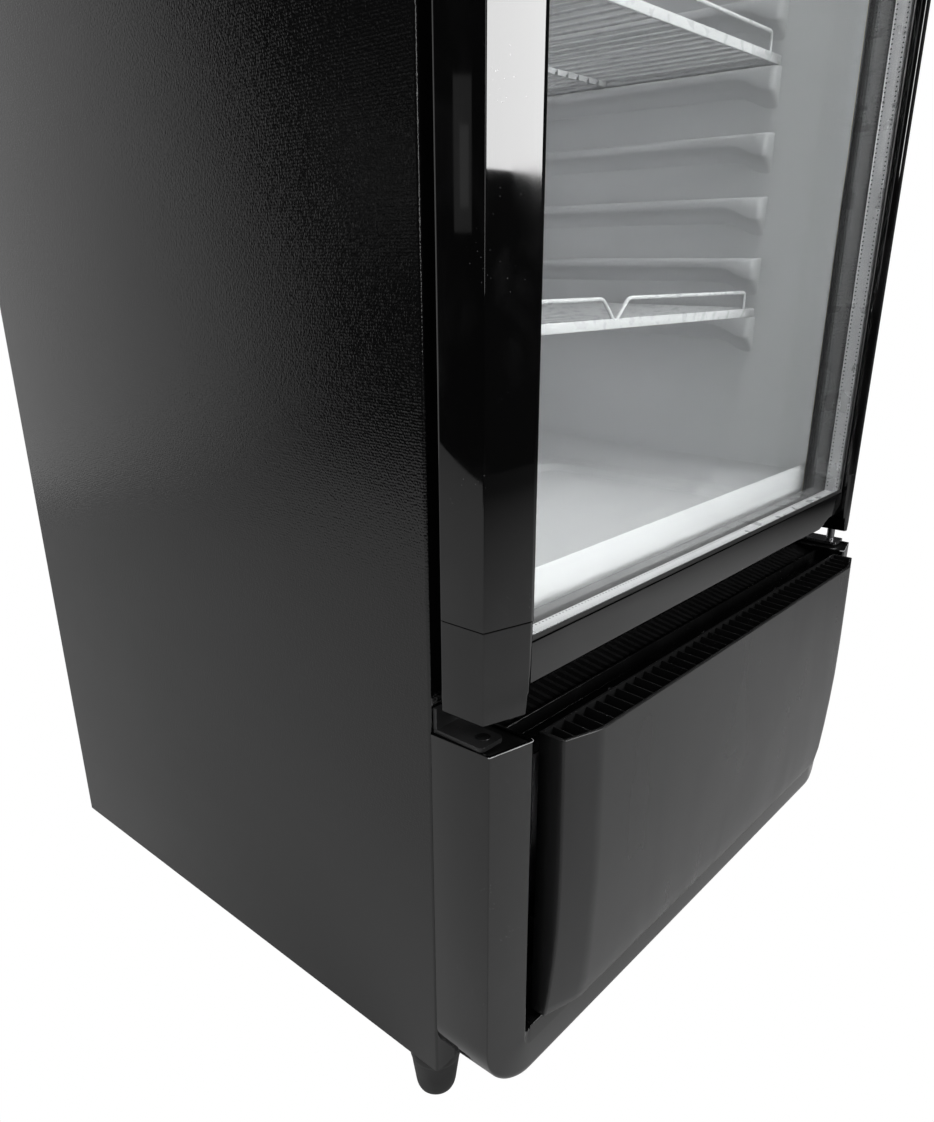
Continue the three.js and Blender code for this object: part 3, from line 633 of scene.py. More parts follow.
def rail(lift_right):
    """A cross rail between the end caps, with a rounded lower edge."""
    front = rail_low.y
    half = rail_high.x - 0.2
    stops = [-half, -half + 0.5, -half + 1.2, -half + 2.5, -half + RAIL_END, 0]
    stops += [RAIL_NOTCH_FROM, RAIL_NOTCH_FROM + 8, RAIL_NOTCH_FROM + 20, half - RAIL_END, half - 1.2, half]
    rings = []
    for x in stops:
        end = max(0, abs(x) - (half - RAIL_END)) / RAIL_END
        lift = 0
        if lift_right and x > RAIL_NOTCH_FROM:
            t = min(1, (x - RAIL_NOTCH_FROM) / 20)
            lift = RAIL_LIFT * t * t * (3 - 2 * t)
        low = rail_low.z + lift + RAIL_END * (1 - math.sqrt(1 - end * end))
        top = rail_high.z - 2
        face = front + end ** 3
        outline = [(DOOR_BACK, low), (face, low), (face, top), (PACK_FRONT, top), (PACK_FRONT, top - 14)]
        outline += [(PACK_BACK, top - 14), (PACK_BACK, rail_high.z), (DOOR_BACK, rail_high.z)]
        section = rounded(outline, [1, 2.6, 0.8, 0.3, 0, 0, 0.4, 1])
        rings.append([(x, y, z) for y, z in section])
    return loft(rings)


def glass_seals():
    """Black seal lips on the front of the glass, along all four edges."""
    front = spacer_low.y - 4.3
    half = -spacer_low.x - 13.2
    low = spacer_low.z + 12.6
    high = spacer_high.z - 12.6
    lip = [(0, 0), (0, -1.2), (-1.0, -1.9), (-3.4, -1.2), (-3.4, 0)]
    parts = []
    for side in (-1, 1):
        section = [(side * (half - d), front + y) for d, y in lip]
        parts.append(prism(section, "z", low, high))
    for z, way in ((low, 1), (high, -1)):
        section = [(front + y, z - way * d) for d, y in lip]
        parts.append(prism(section, "x", -half, half))
    return merged(parts)


def spacer_ring():
    """The bright bar between the panes: a shallow channel section round all four sides."""
    y0, y1 = spacer_low.y, spacer_high.y
    section = [(0, y0), (12.2, y0), (13, y0 + 0.8), (12.7, y0 + 1.5), (12.7, y1 - 1.5), (13, y1 - 0.8)]
    section += [(12.2, y1), (0, y1)]
    return mitred_frame(section, spacer_low, spacer_high)


DOT_PITCH = 3.8
DOT_R = 0.8
DOT_SIDES = 6
DOT_ROWS = 4.9  # each row's distance from the bar's middle


def dimple(centre, across, along, inward):
    """A tiny round dimple: a shallow cup with its rim on the bar, drawn black as painted shade for the dark
    inside of a hole.
    """
    turn = [math.tau * i / DOT_SIDES for i in range(DOT_SIDES)]
    rim = [tuple(centre + (across * math.cos(t) + along * math.sin(t)) * DOT_R) for t in turn]
    cup = centre - inward * 0.05
    deep = [tuple(cup + (across * math.cos(t) + along * math.sin(t)) * DOT_R * 0.5) for t in turn]
    sides = range(DOT_SIDES)
    faces = [(i, (i + 1) % DOT_SIDES, (i + 1) % DOT_SIDES + DOT_SIDES, i + DOT_SIDES) for i in sides]
    return rim + deep, faces + [tuple(range(DOT_SIDES, 2 * DOT_SIDES))]


def spacer_dots():
    """Two rows of drying holes along each side of the spacer bar."""
    middle = (spacer_low.y + spacer_high.y) / 2
    depth = 12.64
    parts = []
    y_axis = Vector((0, 1, 0))
    for row in (-DOT_ROWS, DOT_ROWS):
        y = middle + row
        z = spacer_low.z + 18
        while z < spacer_high.z - 16:
            for x, way in ((spacer_low.x + depth, 1), (spacer_high.x - depth, -1)):
                face = Vector((x + way * 0.12, y, z))
                parts.append(dimple(face, y_axis, Vector((0, 0, 1)), Vector((way, 0, 0))))
            z += DOT_PITCH
        x = spacer_low.x + 18
        while x < spacer_high.x - 16:
            for z, way in ((spacer_low.z + depth, 1), (spacer_high.z - depth, -1)):
                face = Vector((x, y, z + way * 0.12))
                parts.append(dimple(face, y_axis, Vector((1, 0, 0)), Vector((0, 0, way))))
            x += DOT_PITCH
    return merged(parts)


def gasket_ring():
    """A bellows gasket between door and body."""
    low, high = mm_box("door_gasket")
    y0, y1 = low.y, high.y
    ridge = [0, 2.4, 4.0, 6.2, 8.4, 10.8, 13.0, 14.6, 17]
    dip = [0.4, 1.6, 0.3, 1.5, 0.3, 1.5, 0.3, 1.6, 0.4]
    front = [(d, y0 + s) for d, s in zip(ridge, dip)]
    back = [(d, y1 - s) for d, s in zip(reversed(ridge), reversed(dip))]
    return mitred_frame(front + back, low, high)


def build_door():
    middle = (cap_low.z + cap_top_high.z) / 2
    stile = prism(stile_outline(), "z", stile_low.z, stile_high.z)
    cap = door_cap()
    top_cap = flipped(cap, middle)
    mouldings = [
        ("door_profile_left", stile, "door_stile_left"),
        ("door_profile_right", mirrored(stile), "door_stile_right"),
        ("door_end_cap_bottom_left", cap, "door_cap_bottom_left"),
        ("door_end_cap_bottom_right", mirrored(cap), "door_cap_bottom_right"),
        ("door_end_cap_top_left", top_cap, "door_cap_top_left"),
        ("door_end_cap_top_right", mirrored(top_cap), "door_cap_top_right"),
        ("door_rail_lower", rail(True), "door_rail_bottom"),
        ("door_rail_upper", flipped(rail(False), middle), "door_rail_top"),
    ]
    for name, mesh, node in mouldings:
        piece(name, *mesh, GLOSS, "door", "gloss_black", [node], smooth=24)
    piece("glass_seal_lips", *glass_seals(), RUBBER, "door", "rubber")
    piece("glass_spacer_bar", *spacer_ring(), SPACER, "door", "aluminium", ["glass_spacer"], smooth=20)
    # the holes are black cups barely below the bar: painted shade
    piece("glass_spacer_holes", *spacer_dots(), MATTE, "door", "matte_black")
    corner = (rail_high.x + 3, DOOR_NOSE + 6, rail_high.z + 6)
    piece("door_corner_screw", *screw(*corner, ("y", -1), 2.0), BRIGHT, "door", "bright_steel")
    piece("door_gasket_bellows", *gasket_ring(), RUBBER, "door", "rubber", ["door_gasket"], smooth=60)


# ---- screws ----
SCREW_SIDES = 20
SCREW_TOP = 2.0


def screw(x, y, z, facing, radius=3.4):
    """A pan-head screw with a cross recess. facing is (axis, sign): the way its head points."""
    axis, sign = facing
    sides = SCREW_SIDES
    profile = [(1, 0), (1, 0.5), (0.9, 1.3), (0.62, 1.9), (0.5, SCREW_TOP)]
    verts, faces = lathe([(radius * r, h) for r, h in profile], 0, 0, sides, caps=False)
    arm = radius * 0.42
    slim = radius * 0.13
    cross = [(slim, arm), (-slim, arm), (-slim, slim), (-arm, slim), (-arm, -slim), (-slim, -slim)]
    cross += [(-slim, -arm), (slim, -arm), (slim, -slim), (arm, -slim), (arm, slim), (slim, slim)]
    base = len(verts)
    verts += [(a, b, SCREW_TOP) for a, b in cross] + [(a * 0.8, b * 0.8, 1.1) for a, b in cross]
    count = len(cross)
    for i in range(count):
        j = (i + 1) % count
        faces.append((base + i, base + j, base + j + count, base + i + count))
    faces.append(tuple(base + count + i for i in range(count)))
    first = base - sides

    def nearest(k):
        """The cross corner closest to a point of the head's top ring."""
        here = Vector(verts[first + k % sides][:2])
        return min(range(count), key=lambda i: (Vector(cross[i]) - here).length)

    for k in range(sides):
        pick, after = nearest(k), nearest(k + 1)
        faces.append((first + k, first + (k + 1) % sides, base + after))
        if pick != after:
            faces.append((first + k, base + after, base + pick))
    at = AXES[axis]
    here = {"x": (y, z, x), "y": (x, z, y), "z": (x, y, z)}[axis]
    return [at(here[0] + a, here[1] + b, here[2] + sign * h) for a, b, h in verts], faces


# ---- lower frame ----
CORNER_R = 45
TOE_R = 12
UPRIGHT = [(0, -0.4), (2, -48.8), (36.8, -56.3), (38.6, -55.2), (39.6, -52.6), (40.2, -6)]
FRAME_R = [0, 1.0, 2.0, 1.2, 0.8, 0]


def frame_section(blend_to_sill):
    """Cross-section points (distance in from the outer edge, y from the body's front), upright to sill."""
    upright = rounded(UPRIGHT, FRAME_R, 5)
    sill_corners = [(0, -0.4), (0, -56.3), (30, -56.3), (44.4, -55.4), (45.4, -52.6), (45.6, -6)]
    sill_r = [0, TOE_R / 1.4, 2.0, 1.2, 0.8, 0]
    sill = rounded(sill_corners, sill_r, 5)
    t = blend_to_sill
    return [(a * (1 - t) + c * t, b * (1 - t) + d * t) for (a, b), (c, d) in zip(upright, sill)]


def lower_frame():
    """The gloss U round the grille, swept down one side, along the bottom and up the other."""
    half = -frame_low.x
    bottom, top = frame_low.z, frame_high.z
    corner_z = bottom + CORNER_R
    stations = [(-half, z, (1, 0), 0.0) for z in (top, top - 0.5, (top + corner_z) / 2, corner_z + 4)]
    steps = 16
    for i in range(steps + 1):
        turn = math.radians(90 * i / steps)
        x = -half + CORNER_R - CORNER_R * math.cos(turn)
        z = corner_z - CORNER_R * math.sin(turn)
        t = i / steps
        stations.append((x, z, (math.cos(turn), math.sin(turn)), t * t * (3 - 2 * t)))
    stations += [(-x, z, (-nx, nz), t) for x, z, (nx, nz), t in reversed(stations)]
    rings = []
    for x, z, (nx, nz), t in stations:
        rings.append([(x + nx * d, FRONT + y, z + nz * d) for d, y in frame_section(t)])
    return loft(rings, closed=False, caps=False)


def frame_decks():
    """The closed tops of the two uprights."""
    deck_z = frame_high.z - 1.6
    parts = []
    for side in (-1, 1):
        ring = [(side * (HALF - 1.6 - d * 0.93), FRONT + y * 0.965) for d, y in UPRIGHT]
        parts.append(prism(ring, "z", deck_z - 2, deck_z))
    return merged(parts)


def frame_highlight_lines():
    """A thin pale wire along the top edge of each upright, a painted highlight."""
    z = frame_high.z - 0.3
    parts = []
    for side in (-1, 1):
        outline = rounded(UPRIGHT, FRAME_R, 5)
        path = [(side * (HALF - d - 0.15), FRONT + y + 0.2, z) for d, y in outline[1:-6]]
        parts.append(wire(path, 0.34, 6))
    return merged(parts)


def build_frame():
    piece("lower_frame_moulding", *lower_frame(), GLOSS, "cabinet", "gloss_black", ["lower_frame"],
          thick=2.4, bevel=0.6, smooth=24)
    piece("lower_frame_deck", *frame_decks(), MATTE, "cabinet", "matte_black")
    # a pale wire laid on the edge as a painted highlight
    piece("lower_frame_painted_highlight_line", *frame_highlight_lines(), HIGHLIGHT_AND_WEAR, "cabinet", "gloss_black")


# ---- grille panel ----
SIDE_FACE = [(342, -70), (299, -71), (234, -72), (188, -71.5), (137, -67.5), (108, -63.6), (99, -62)]
FRONT_FACE = [(342, -79.3), (288, -80.5), (221, -81.4), (172, -79.6), (126, -77.2), (104, -73.8), (97, -69)]
BEVEL_IN = 30.2


def along(table, z):
    """A smooth value from a table of (height, value), heights falling."""
    if z >= table[0][0]:
        return table[0][1]
    for (z1, v1), (z0, v0) in zip(table, table[1:]):
        if z >= z0:
            t = (z - z0) / (z1 - z0)
            return v0 + (v1 - v0) * t
    return table[-1][1]


def smooth_along(table, z, reach=14):
    """The table's value averaged over a few heights, which rounds its corners."""
    heights = [z + reach * k / 3 for k in range(-3, 4)]
    return sum(along(table, h) for h in heights) / len(heights)


def grille_skin():
    """The convex bevelled cover: side wall, bevel and front, rounded at its lower corners."""
    half = grille_high.x
    low, top = grille_low.z, grille_high.z
    lift = [0, 0.2, 1.4, 4, 9, 16, 30, 60, 90, 120, 150, 180, 210, top - low - 1.2, top - low]
    rings = []
    for up in lift:
        z = low + up
        tuck = 5.5 * max(0, 1 - up / 9) ** 2  # how far the outline draws in near the bottom edge
        side_y = smooth_along(SIDE_FACE, z) + tuck * 1.2
        front_y = smooth_along(FRONT_FACE, z) + tuck * 1.5
        x = half - tuck
        outline = [(-x, -50), (-x, side_y), (-x + BEVEL_IN, front_y), (-BEVEL_IN * 2, front_y - 0.3)]
        path = rounded(outline + [(-a, b) for a, b in reversed(outline)], [0, 2.2, 34, 0, 0, 34, 2.2, 0], 7)
        rings.append([(a, FRONT + b, z) for a, b in path])
    return loft(rings, closed=False, caps=False)


COMB_VANES = 39
COMB_DROP = 12
COMB_FRONT = -75.4  # the middle vanes' front edge
COMB_BACKSET = 8.6  # how far the outermost vanes stand back from it
VANE_HALF = 0.55


def grille_comb():
    """Slim vanes across the panel's open top, the thin rim behind them, and a dark plate under the vanes as
    painted shade.
    """
    half = grille_high.x
    top = grille_high.z - 0.6
    pitch = 2 * half / (COMB_VANES + 1)
    parts = []
    for i in range(1, COMB_VANES + 1):
        x = -half + i * pitch
        edge = max(0, abs(x) - (half - BEVEL_IN)) / BEVEL_IN
        front = COMB_FRONT + COMB_BACKSET * edge
        low = top - COMB_DROP
        outline = [(-51, top - 0.2), (-51, low), (front + 1, low - 3), (front, top - 1.4)]
        blade = rounded(outline, [0.3, 0, 0, 0.6], 2)
        parts.append(prism([(FRONT + a, b) for a, b in blade], "x", x - VANE_HALF, x + VANE_HALF))
    rim = rounded([(-52.2, top - 14), (-50, top - 14), (-50, top + 0.5), (-52.2, top + 0.5)], 0.5, 2)
    parts.append(prism([(FRONT + a, b) for a, b in rim], "x", -half + 1, half - 1))
    # a dark sheet under the vanes, painted shade that hides the space below
    outer, inner = half - 3, half - BEVEL_IN - 2
    plate = [(-outer, -52), (-outer, -65), (-inner, -73), (inner, -73), (outer, -65), (outer, -52)]
    parts.append(prism([(x, FRONT + y) for x, y in plate], "z", top - 16.5, top - 15.5))
    return merged(parts)


def build_grille():
    piece("grille_panel_cover", *grille_skin(), CHARCOAL, "cabinet", "charcoal_panel", ["grille_panel"],
          thick=2.2, smooth=40)
    piece("grille_comb", *grille_comb(), VANES, "cabinet", "matte_black")


# ---- ledge under the door ----
TROUGH = 326.4  # height of the trough's floor
RIB_PITCH = 9.5


def ledge_profile():
    """Side view: slope behind, thin ridge, trough in front."""
    points = [(-0.4, 341), (-23, 333.6), (-25.4, 337.8), (-27, 337.8), (-27.8, TROUGH), (-48.6, TROUGH)]
    points += [(-48.6, 324.2), (-26, 324.2), (-24.6, 330.8), (-0.4, 338.2)]
    return [(FRONT + y, z) for y, z in points]


def build_vent_ledge():
    half = ledge_high.x
    piece("vent_ledge_moulding", *prism(ledge_profile(), "x", -half, half), SATIN, "cabinet", "matte_black",
          ["vent_ledge"], bevel=0.35)
    ribs = []
    for i in range(int(2 * (half - 14) / RIB_PITCH)):
        x = -half + 12 + i * RIB_PITCH
        ring = [(x, FRONT - 2, 340.6), (x + 2.2, FRONT - 2, 341.6), (x + 3.4, FRONT - 2, 340.6)]
        tip = [(x + 5, FRONT - 21.5, 334.2), (x + 7.2, FRONT - 21.5, 335.4), (x + 8.4, FRONT - 21.5, 334.2)]
        ribs.append(loft([ring, tip]))
    piece("vent_ledge_louvres", *merged(ribs), VANES, "cabinet", "matte_black")
    for i, x in enumerate((-150, 0, 150)):
        name = f"vent_ledge_screw_{i + 1}"
        piece(name, *screw(x, FRONT - 37, TROUGH, ("z", 1), 3.0), BRIGHT, "cabinet", "bright_steel")


# ---- hinge plates ----
PLATE_THICK = 3
PLATE_HOLE = Vector((-HALF + 15.5, FRONT - 32))
SPARE_HOLE_R = 3.5


def plate_mesh(hole_r):
    """The left lower plate: a flat leaf with rounded front corners and a hole, in two rings of quads."""
    x0, x1 = plate_low.x, plate_high.x
    y0, y1 = plate_low.y, FRONT - 0.4
    z0 = plate_low.z
    z1 = z0 + PLATE_THICK
    corners = [(x0, y1), (x0, y0), (x1, y0), (x1, y1)]
    rim = rounded(corners, [0.2, 4, 4, 0.2], 7)
    ring = [tuple(PLATE_HOLE + (Vector(p) - PLATE_HOLE).normalized() * hole_r) for p in rim]
    count = len(rim)
    verts = [(x, y, z0) for x, y in rim] + [(x, y, z1) for x, y in rim]
    verts += [(x, y, z0) for x, y in ring] + [(x, y, z1) for x, y in ring]
    faces = []
    for i in range(count):
        j = (i + 1) % count
        faces.append((i, j, count + j, count + i))
        faces.append((count + i, count + j, 3 * count + j, 3 * count + i))
        faces.append((2 * count + i, 2 * count + j, j, i))
        faces.append((3 * count + i, 3 * count + j, 2 * count + j, 2 * count + i))
    return verts, faces


def build_hinges():
    left = plate_mesh(SPARE_HOLE_R)
    z = plate_low.z
    leg = box_mesh(plate_low.x, plate_high.x, FRONT - 3.4, FRONT - 0.4, z + 2.6, plate_high.z)
    lip = [(4.9, z + 2.9), (4.9, z + 3.25), (4.2, z + 3.4), (SPARE_HOLE_R, z + 3.2)]
    lining = lathe(lip, *PLATE_HOLE, 28)
    spare = piece("hinge_plate_spare", *merged([left, leg]), PLATE_BLACK, "cabinet", "black_steel",
                  ["hinge_plate_lower_left"], bevel=0.55)
    # the plate's bevelled edges take the pale edge material: painted highlight, and worn paint
    spare.data.materials.append(HIGHLIGHT_AND_WEAR)
    spare.modifiers["edges"].material = 1
    piece("hinge_plate_spare_ring", *lining, DARK_STEEL, "cabinet", "bright_steel")
    right = mirrored(merged([plate_mesh(4.3), leg]))
    piece("hinge_plate_lower", *right, BRIGHT, "cabinet", "bright_steel", ["hinge_plate_lower_right"],
          bevel=0.4)


# ---- feet ----
def build_feet():
    for corner in ("front_left", "front_right", "rear_left", "rear_right"):
        node = "foot_" + corner
        low, high = mm_box(node)
        x, y = (low.x + high.x) / 2, (low.y + high.y) / 2
        top = BODY_BOTTOM - 0.4
        profile = [(0.1, 0), (11.5, 0), (13.2, 0.5), (14.6, 1.8), (15.6, 4.2), (16.4, 8), (17.4, 16)]
        profile += [(18.6, 25), (19.6, 33.5), (20.0, 35.2), (20.4, 36.0), (20.4, top - 0.6), (19.8, top)]
        profile += [(4, top), (4, high.z), (0.1, high.z)]
        piece(node + "_moulding", *lathe(profile, x, y, 48), MATTE, node, "foot_plastic", [node], smooth=40)


# ---- interior ----
WALL_X = wall_high.x - 2  # inner face of the right wall
FLOOR = floor_high.z
CEILING = ceiling_low.z
BACK_WALL = back_low.y
LINER_FRONT = floor_low.y
FILLET = 24
PAN_HALF = 231
PAN_FRONT = FRONT + 44
PAN_BACK = FRONT + 312
PAN_DEEP = 7
PAN_SLOPE = 10
PAN_R = 30
TRAY_RISE = 12  # the tray's upright edge above its fillet


def liner_tub():
    """The open-fronted liner with rounded inner edges, from the ceiling down to below the floor tray."""
    low = FLOOR - PAN_DEEP - 0.8
    section = rounded([(-WALL_X, low), (WALL_X, low), (WALL_X, CEILING), (-WALL_X, CEILING)], FILLET, 6)
    rings = [[(x, LINER_FRONT, z) for x, z in section]]
    for k in range(7):
        turn = math.radians(90 * k / 6)
        draw = FILLET * (1 - math.cos(turn))
        y = BACK_WALL - FILLET + FILLET * math.sin(turn)
        x, z0, z1 = WALL_X - draw, low + draw, CEILING - draw
        inner = rounded([(-x, z0), (x, z0), (x, z1), (-x, z1)], max(0.3, FILLET - draw), 6)
        rings.append([(x, y, z) for x, z in inner])
    verts, faces = loft(rings, caps=False)
    count = len(section)
    faces.append(tuple(range(len(verts) - count, len(verts))))
    return verts, faces


def tray_ring(draw, z, corner):
    """An outline of the floor tray, drawn in from the side and back walls."""
    half, back = WALL_X - draw, BACK_WALL - draw
    points = [(-half, LINER_FRONT), (half, LINER_FRONT), (half, back), (-half, back)]
    return [(x, y, z) for x, y in rounded(points, [0.3, 0.3, corner, corner], 8)]


def pan_ring(inset, z):
    """An outline of the sunken pan."""
    half, front, back = PAN_HALF - inset, PAN_FRONT + inset, PAN_BACK - inset
    points = [(-half, front), (half, front), (half, back), (-half, back)]
    return [(x, y, z) for x, y in rounded(points, PAN_R - inset * 0.7, 8)]


def liner_tray():
    """The floor: a rounded rise to the walls, a flat border and a shallow sunken pan."""
    rings = [tray_ring(0.3, FLOOR + FILLET + TRAY_RISE, FILLET + 2)]
    for k in range(9):
        turn = math.radians(90 * k / 8)
        draw = FILLET * (1 - math.cos(turn)) + 0.3
        rings.append(tray_ring(draw, FLOOR + 0.6 + FILLET * (1 - math.sin(turn)), FILLET + 2 - draw * 0.5))
    low = FLOOR + 0.6 - PAN_DEEP
    rings.append(pan_ring(0, FLOOR + 0.6))
    rings.append(pan_ring(1.6, FLOOR + 0.1))
    rings.append(pan_ring(PAN_SLOPE - 1.6, low + 0.5))
    rings.append(pan_ring(PAN_SLOPE, low))
    verts, faces = loft(rings, caps=False)
    count = len(rings[0])
    faces.append(tuple(range(len(verts) - count, len(verts))))
    return verts, faces


SHELF_LOW = mm_box("shelf_1")[0]
LEDGE_FIRST = SHELF_LOW.z - 0.4
LEDGE_PITCH = (mm_box("shelf_2")[0].z - SHELF_LOW.z) / 4
LEDGE_COUNT = 19
LEDGE_OUT = 14
LEDGE_FRONT = SHELF_LOW.y
LEDGE_BACK = FRONT + 490


def ledge(top):
    """One moulded shelf ledge of the right wall: flat top, rounded nose, deeper at its front end."""
    rings = []
    length = LEDGE_BACK - LEDGE_FRONT
    stations = [(0, 0.15, 21), (0.8, 0.7, 21.5), (3, 0.93, 22), (6, 1, 22), (14, 1, 20.5), (22, 1, 17)]
    stations += [(30, 1, 13), (40, 1, 10.5), (60, 1, 9.5), (length - 20, 1, 9.5), (length - 6, 0.9, 9)]
    stations += [(length, 0.3, 8)]
    for run, out, deep in stations:
        x, low = WALL_X, top - deep
        reach = LEDGE_OUT * out
        nose = x - reach
        section = [(x + 0.4, top), (nose + 3, top), (nose + 1.2, top - 0.5), (nose, top - 2.6)]
        section += [(nose + 0.5, low + 2.5), (nose + 1.6, low + 0.6), (nose + 4, low - 0.8)]
        section += [(x - reach * 0.42, low - 4.5), (x - reach * 0.16, low - 9), (x + 0.4, low - 15)]
        rings.append([(a, LEDGE_FRONT + run, b) for a, b in section])
    return loft(rings)


def build_liner():
    nodes = ["liner_right", "liner_left", "liner_floor", "liner_back", "liner_ceiling"]
    dress = (LINER, "cabinet", "liner_white")
    piece("liner_tub", *liner_tub(), *dress, nodes, smooth=50)
    piece("liner_floor_tray", *liner_tray(), *dress, smooth=50)
    ledges = merged([ledge(LEDGE_FIRST + i * LEDGE_PITCH) for i in range(LEDGE_COUNT)])
    piece("liner_ledges_right", *ledges, *dress, smooth=50)
    piece("liner_ledges_left", *mirrored(ledges), *dress, smooth=50)


# ---- shelves ----
WIRES = 29
WIRE_R = 1.35
GUARD_R = 1.7
BAND_H = 8.2


def shelf(low, high):
    """A coated wire shelf: flat bands front and middle, close wires, and a low front guard."""
    half = high.x
    front, back = low.y, high.y
    z0 = low.z
    top = z0 + BAND_H
    middle = (front + back) / 2
    parts = []
    band = rounded([(front + 0.6, z0), (front + 3.2, z0), (front + 3.2, top), (front + 0.6, top)], 0.7, 3)
    parts.append(prism(band, "x", -half, half))
    strip = rounded([(middle - 4.5, top - 4.4), (middle - 2, top - 4.4), (middle - 2, top - 1.6)]
                    + [(middle - 4.5, top - 1.6)], 0.6, 3)
    parts.append(prism(strip, "x", -half + 3, half - 3))
    pitch = 2 * (half - 5.2) / (WIRES - 1)
    for i in range(WIRES - 1):
        x = -half + 5.2 + i * pitch
        parts.append(box_mesh(x + 2.2, x + pitch - 2.2, middle - 5.5, middle - 1.2, top - 7.2, top - 2.4))
    rear = rounded([(back - 3.0, z0), (back - 0.4, z0), (back - 0.4, top - 1), (back - 3, top - 1)], 0.7, 3)
    parts.append(prism(rear, "x", -half, half))
    reach = half - 5.2
    for i in range(WIRES):
        x = -reach + 2 * reach * i / (WIRES - 1)
        path = [(x, front + 1.9, top - 2.4), (x, front + 2.1, top - 0.4), (x, front + 8, top - 0.6)]
        path += [(x, back - 1, top - 0.6)]
        parts.append(wire(soft_path(path, 2, 3), WIRE_R, 10))
    for side in (-1, 1):
        x = side * (half - 3)
        parts.append(wire([(x, front + 1.8, z0 + 3), (x, back - 1.4, z0 + 3)], 2.3, 12))
    guard_top = high.z - GUARD_R
    notch = 19.5
    for side in (-1, 1):
        path = [(1.8, top - 1.5), (notch, guard_top), (half - 24, guard_top), (half - 24, top - 2.5)]
        parts.append(wire(soft_path([(side * x, front + 2, z) for x, z in path], 5, 7), GUARD_R, 12))
    return merged(parts)


def build_shelves():
    for i in range(1, 5):
        node = f"shelf_{i}"
        low, high = mm_box(node)
        piece(node + "_grid", *shelf(low, high), WIRE, node, "coated_wire", [node], smooth=50)


# ---- floor, lights and surroundings ----
def add_area(name, at, towards, size_x, size_y, radiance, roll=0):
    """A rectangular light of a given surface brightness, hidden from the camera. roll is in degrees."""
    data = bpy.data.lights.new(name, "AREA")
    data.shape = "RECTANGLE"
    data.size = size_x
    data.size_y = size_y
    data.energy = radiance * size_x * size_y * math.pi
    obj = bpy.data.objects.new(name, data)
    obj.location = at
    aim = (Vector(towards) - Vector(at)).to_track_quat("-Z", "Y")
    obj.rotation_euler = (aim @ Quaternion((0, 0, 1), math.radians(roll))).to_euler()
    obj.visible_camera = False
    bpy.context.scene.collection.objects.link(obj)
    return obj


# studio sizes are in metres
REACH = 2.2
NEAR = -2.55
# spans over which the floor's painted shade fades in, towards the front and the right
FADE_FRONT = (-2.3, -0.9)
FADE_RIGHT = (0.8, 2.1)


def studio_floor():
    """A pale matte floor with painted shade: darker towards the front and the right, where its light would
    fall off.
    """
    looks = Looks("studio_floor", (0.7, 0.7, 0.7), 0.7, specular=0.1)
    parts = looks.node("ShaderNodeSeparateXYZ")
    looks.link(looks.place, parts.inputs["Vector"])
    front = looks.span(parts.outputs["Y"], *FADE_FRONT, 0, 1)
    right = looks.span(parts.outputs["X"], *FADE_RIGHT, 1, 0)
    looks.colour_from(looks.math("MULTIPLY", front, right), (0.03, 0.03, 0.03), (0.7, 0.7, 0.7))
    return looks.material


# name, place, aim, width, height, brightness, roll
LIGHTS = [
    ("window_light", (0.9, -3.2, 1.69), (0.9, 0, 1.69), 1.3, 1.5, 17),
    ("rear_light", (-0.51, 3, 1.25), (-0.51, 0, 1.25), 3.6, 4.5, 0.64, 27),
    ("strip_light", (-4.15, 2.77, 1.17), (-0.31, -0.265, 0.68), 0.6, 0.76, 0.24),
    ("strip_core", (-4.19, 2.73, 1.12), (-0.31, -0.265, 0.68), 0.3, 0.4, 0.22),
    ("near_light", (-1.75, -1.55, 1), (-0.31, -0.27, 0.7), 0.45, 0.9, 5),
    ("left_light", (-1.9, 0.3, 2.4), (-1.9, 0.3, 0), 1.4, 1.8, 4),
    ("top_light", (-0.35, -0.58, 3.2), (-0.35, -0.51, 0), 1.2, 0.3, 30),
    ("cabinet_light", (0, -0.06, 1.65), (0, -0.06, 0), 0.42, 0.28, 5),
]


def build_studio():
    ground = bpy.data.meshes.new("floor")
    corners = [(-REACH, NEAR), (REACH, NEAR), (REACH, REACH), (-REACH, REACH)]
    ground.from_pydata([(x, y, 0) for x, y in corners], [], [(0, 1, 2, 3)])
    ground.materials.append(studio_floor())
    floor = bpy.data.objects.new("floor", ground)
    bpy.context.scene.collection.objects.link(floor)
    floor.visible_camera = False
    for light in LIGHTS:
        add_area(*light)
    bpy.context.scene.world = surroundings()
    bpy.context.scene.view_settings.view_transform = "Standard"


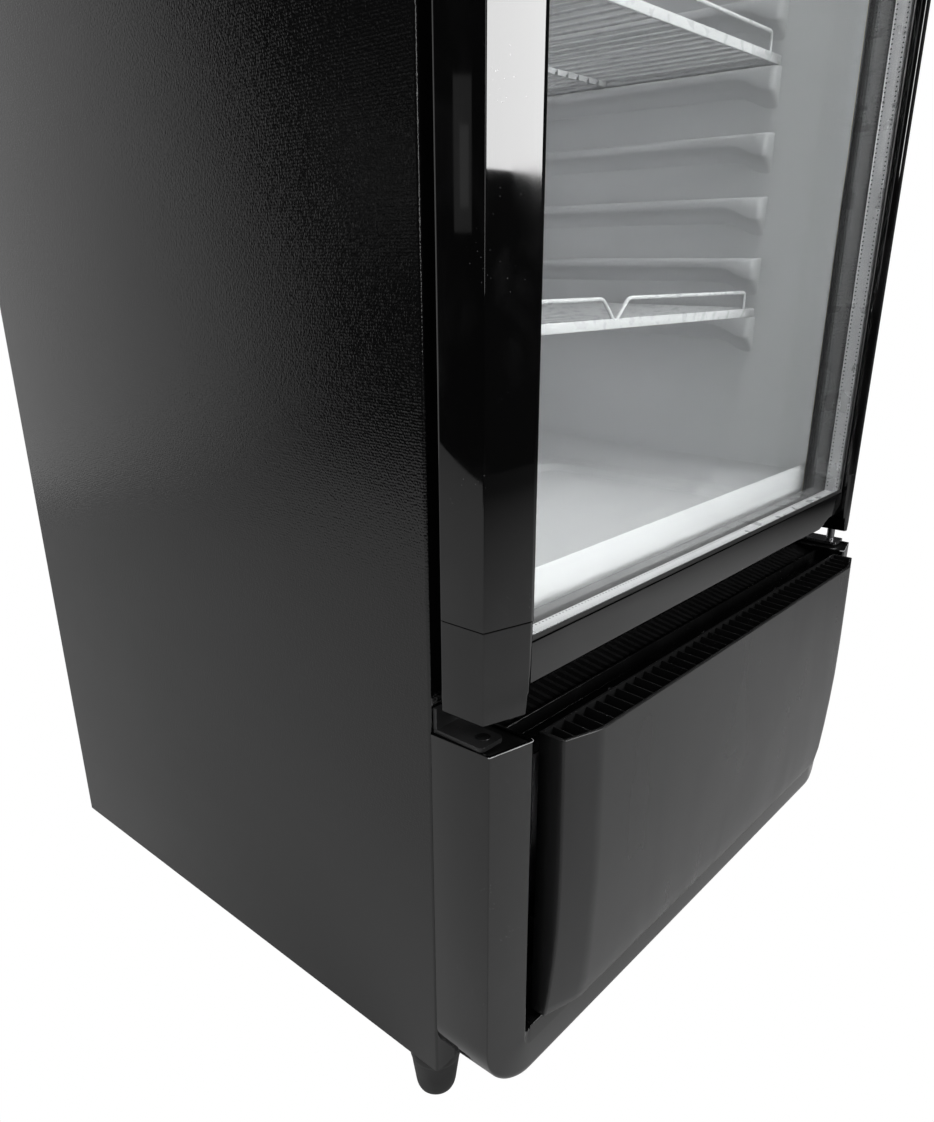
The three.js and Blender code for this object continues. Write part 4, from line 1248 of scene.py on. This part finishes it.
def surroundings():
    """White where the camera looks at it, also through glass, and nearly black in reflections."""
    world = bpy.data.worlds.new("surroundings")
    world.use_nodes = True
    tree = world.node_tree
    path = tree.nodes.new("ShaderNodeLightPath")
    bounces = math_node(tree, "ADD", path.outputs["Diffuse Depth"], path.outputs["Glossy Depth"])
    straight = math_node(tree, "LESS_THAN", bounces, 0.5)
    through_glass = math_node(tree, "MULTIPLY", path.outputs["Is Transmission Ray"], straight)
    seen = math_node(tree, "MAXIMUM", path.outputs["Is Camera Ray"], through_glass)
    mix = tree.nodes.new("ShaderNodeMix")
    mix.data_type = "RGBA"
    mix.inputs["A"].default_value = (0.02, 0.02, 0.0205, 1)
    mix.inputs["B"].default_value = (1, 1, 1, 1)
    tree.links.new(seen, mix.inputs["Factor"])
    tree.links.new(mix.outputs["Result"], tree.nodes["Background"].inputs["Color"])
    return world


# ---- pieces that keep the CAD model's shape ----
# width of each piece's rounded edges
SOFT_PIECES = {
    "front_collar": 0.3,
    "header_box": 1.6,
    "header_sign": 1.0,
    "header_lamp": 3.0,
    "top_cover": 0.4,
    "rear_panel": 0.4,
    "rear_grille": 0.4,
    "base_tray": 0.4,
    "drip_tray": 0.8,
    "control_box": 2.5,
    "power_inlet": 1.0,
    "compressor": 5.0,
    "discharge_line": 0.0,
    "condenser_fan_shroud": 1.2,
    "condenser_fan_motor": 2.0,
    "condenser_fan_blade": 0.5,
    "evaporator_housing": 3.0,
    "evaporator_fan_motor": 1.5,
    "evaporator_fan_blade": 0.4,
    "air_duct": 3.0,
    "thermostat_knob": 0.8,
    "light_switch": 1.0,
    "hinge_plate_upper_right": 0.5,
}
MOVING = {
    "condenser_fan_blade": "condenser_fan",
    "evaporator_fan_blade": "evaporator_fan",
    "thermostat_knob": "knob",
    "light_switch": "switch",
}


def build_soft_pieces():
    for node, width in SOFT_PIECES.items():
        softened(node, SLOT_LOOKS[SLOT_OF[node]], MOVING.get(node, "cabinet"), width)
    for node in ("hinge_pin_lower", "hinge_pin_upper"):
        softened(node, DARK_STEEL, "cabinet", 0.5)


REAR_ROWS = (370, 760, 1150, 1540, 1915, 60, 325)
REAR_SCREW_X = 278


def build_rear_screws():
    """Screws round the edge of the rear panel and the rear grille."""
    for i, z in enumerate(REAR_ROWS):
        for side, x in (("left", -REAR_SCREW_X), ("right", REAR_SCREW_X)):
            name = f"rear_screw_{side}_{i + 1}"
            piece(name, *screw(x, BACK, z, ("y", 1), 3.4), DARK_STEEL, "cabinet", "bright_steel")


# ---- assembly ----
add_camera()
dress_cad_nodes()
build_casing()
build_door()
build_frame()
build_grille()
build_vent_ledge()
build_hinges()
build_feet()
build_liner()
build_shelves()
build_soft_pieces()
build_rear_screws()
build_studio()
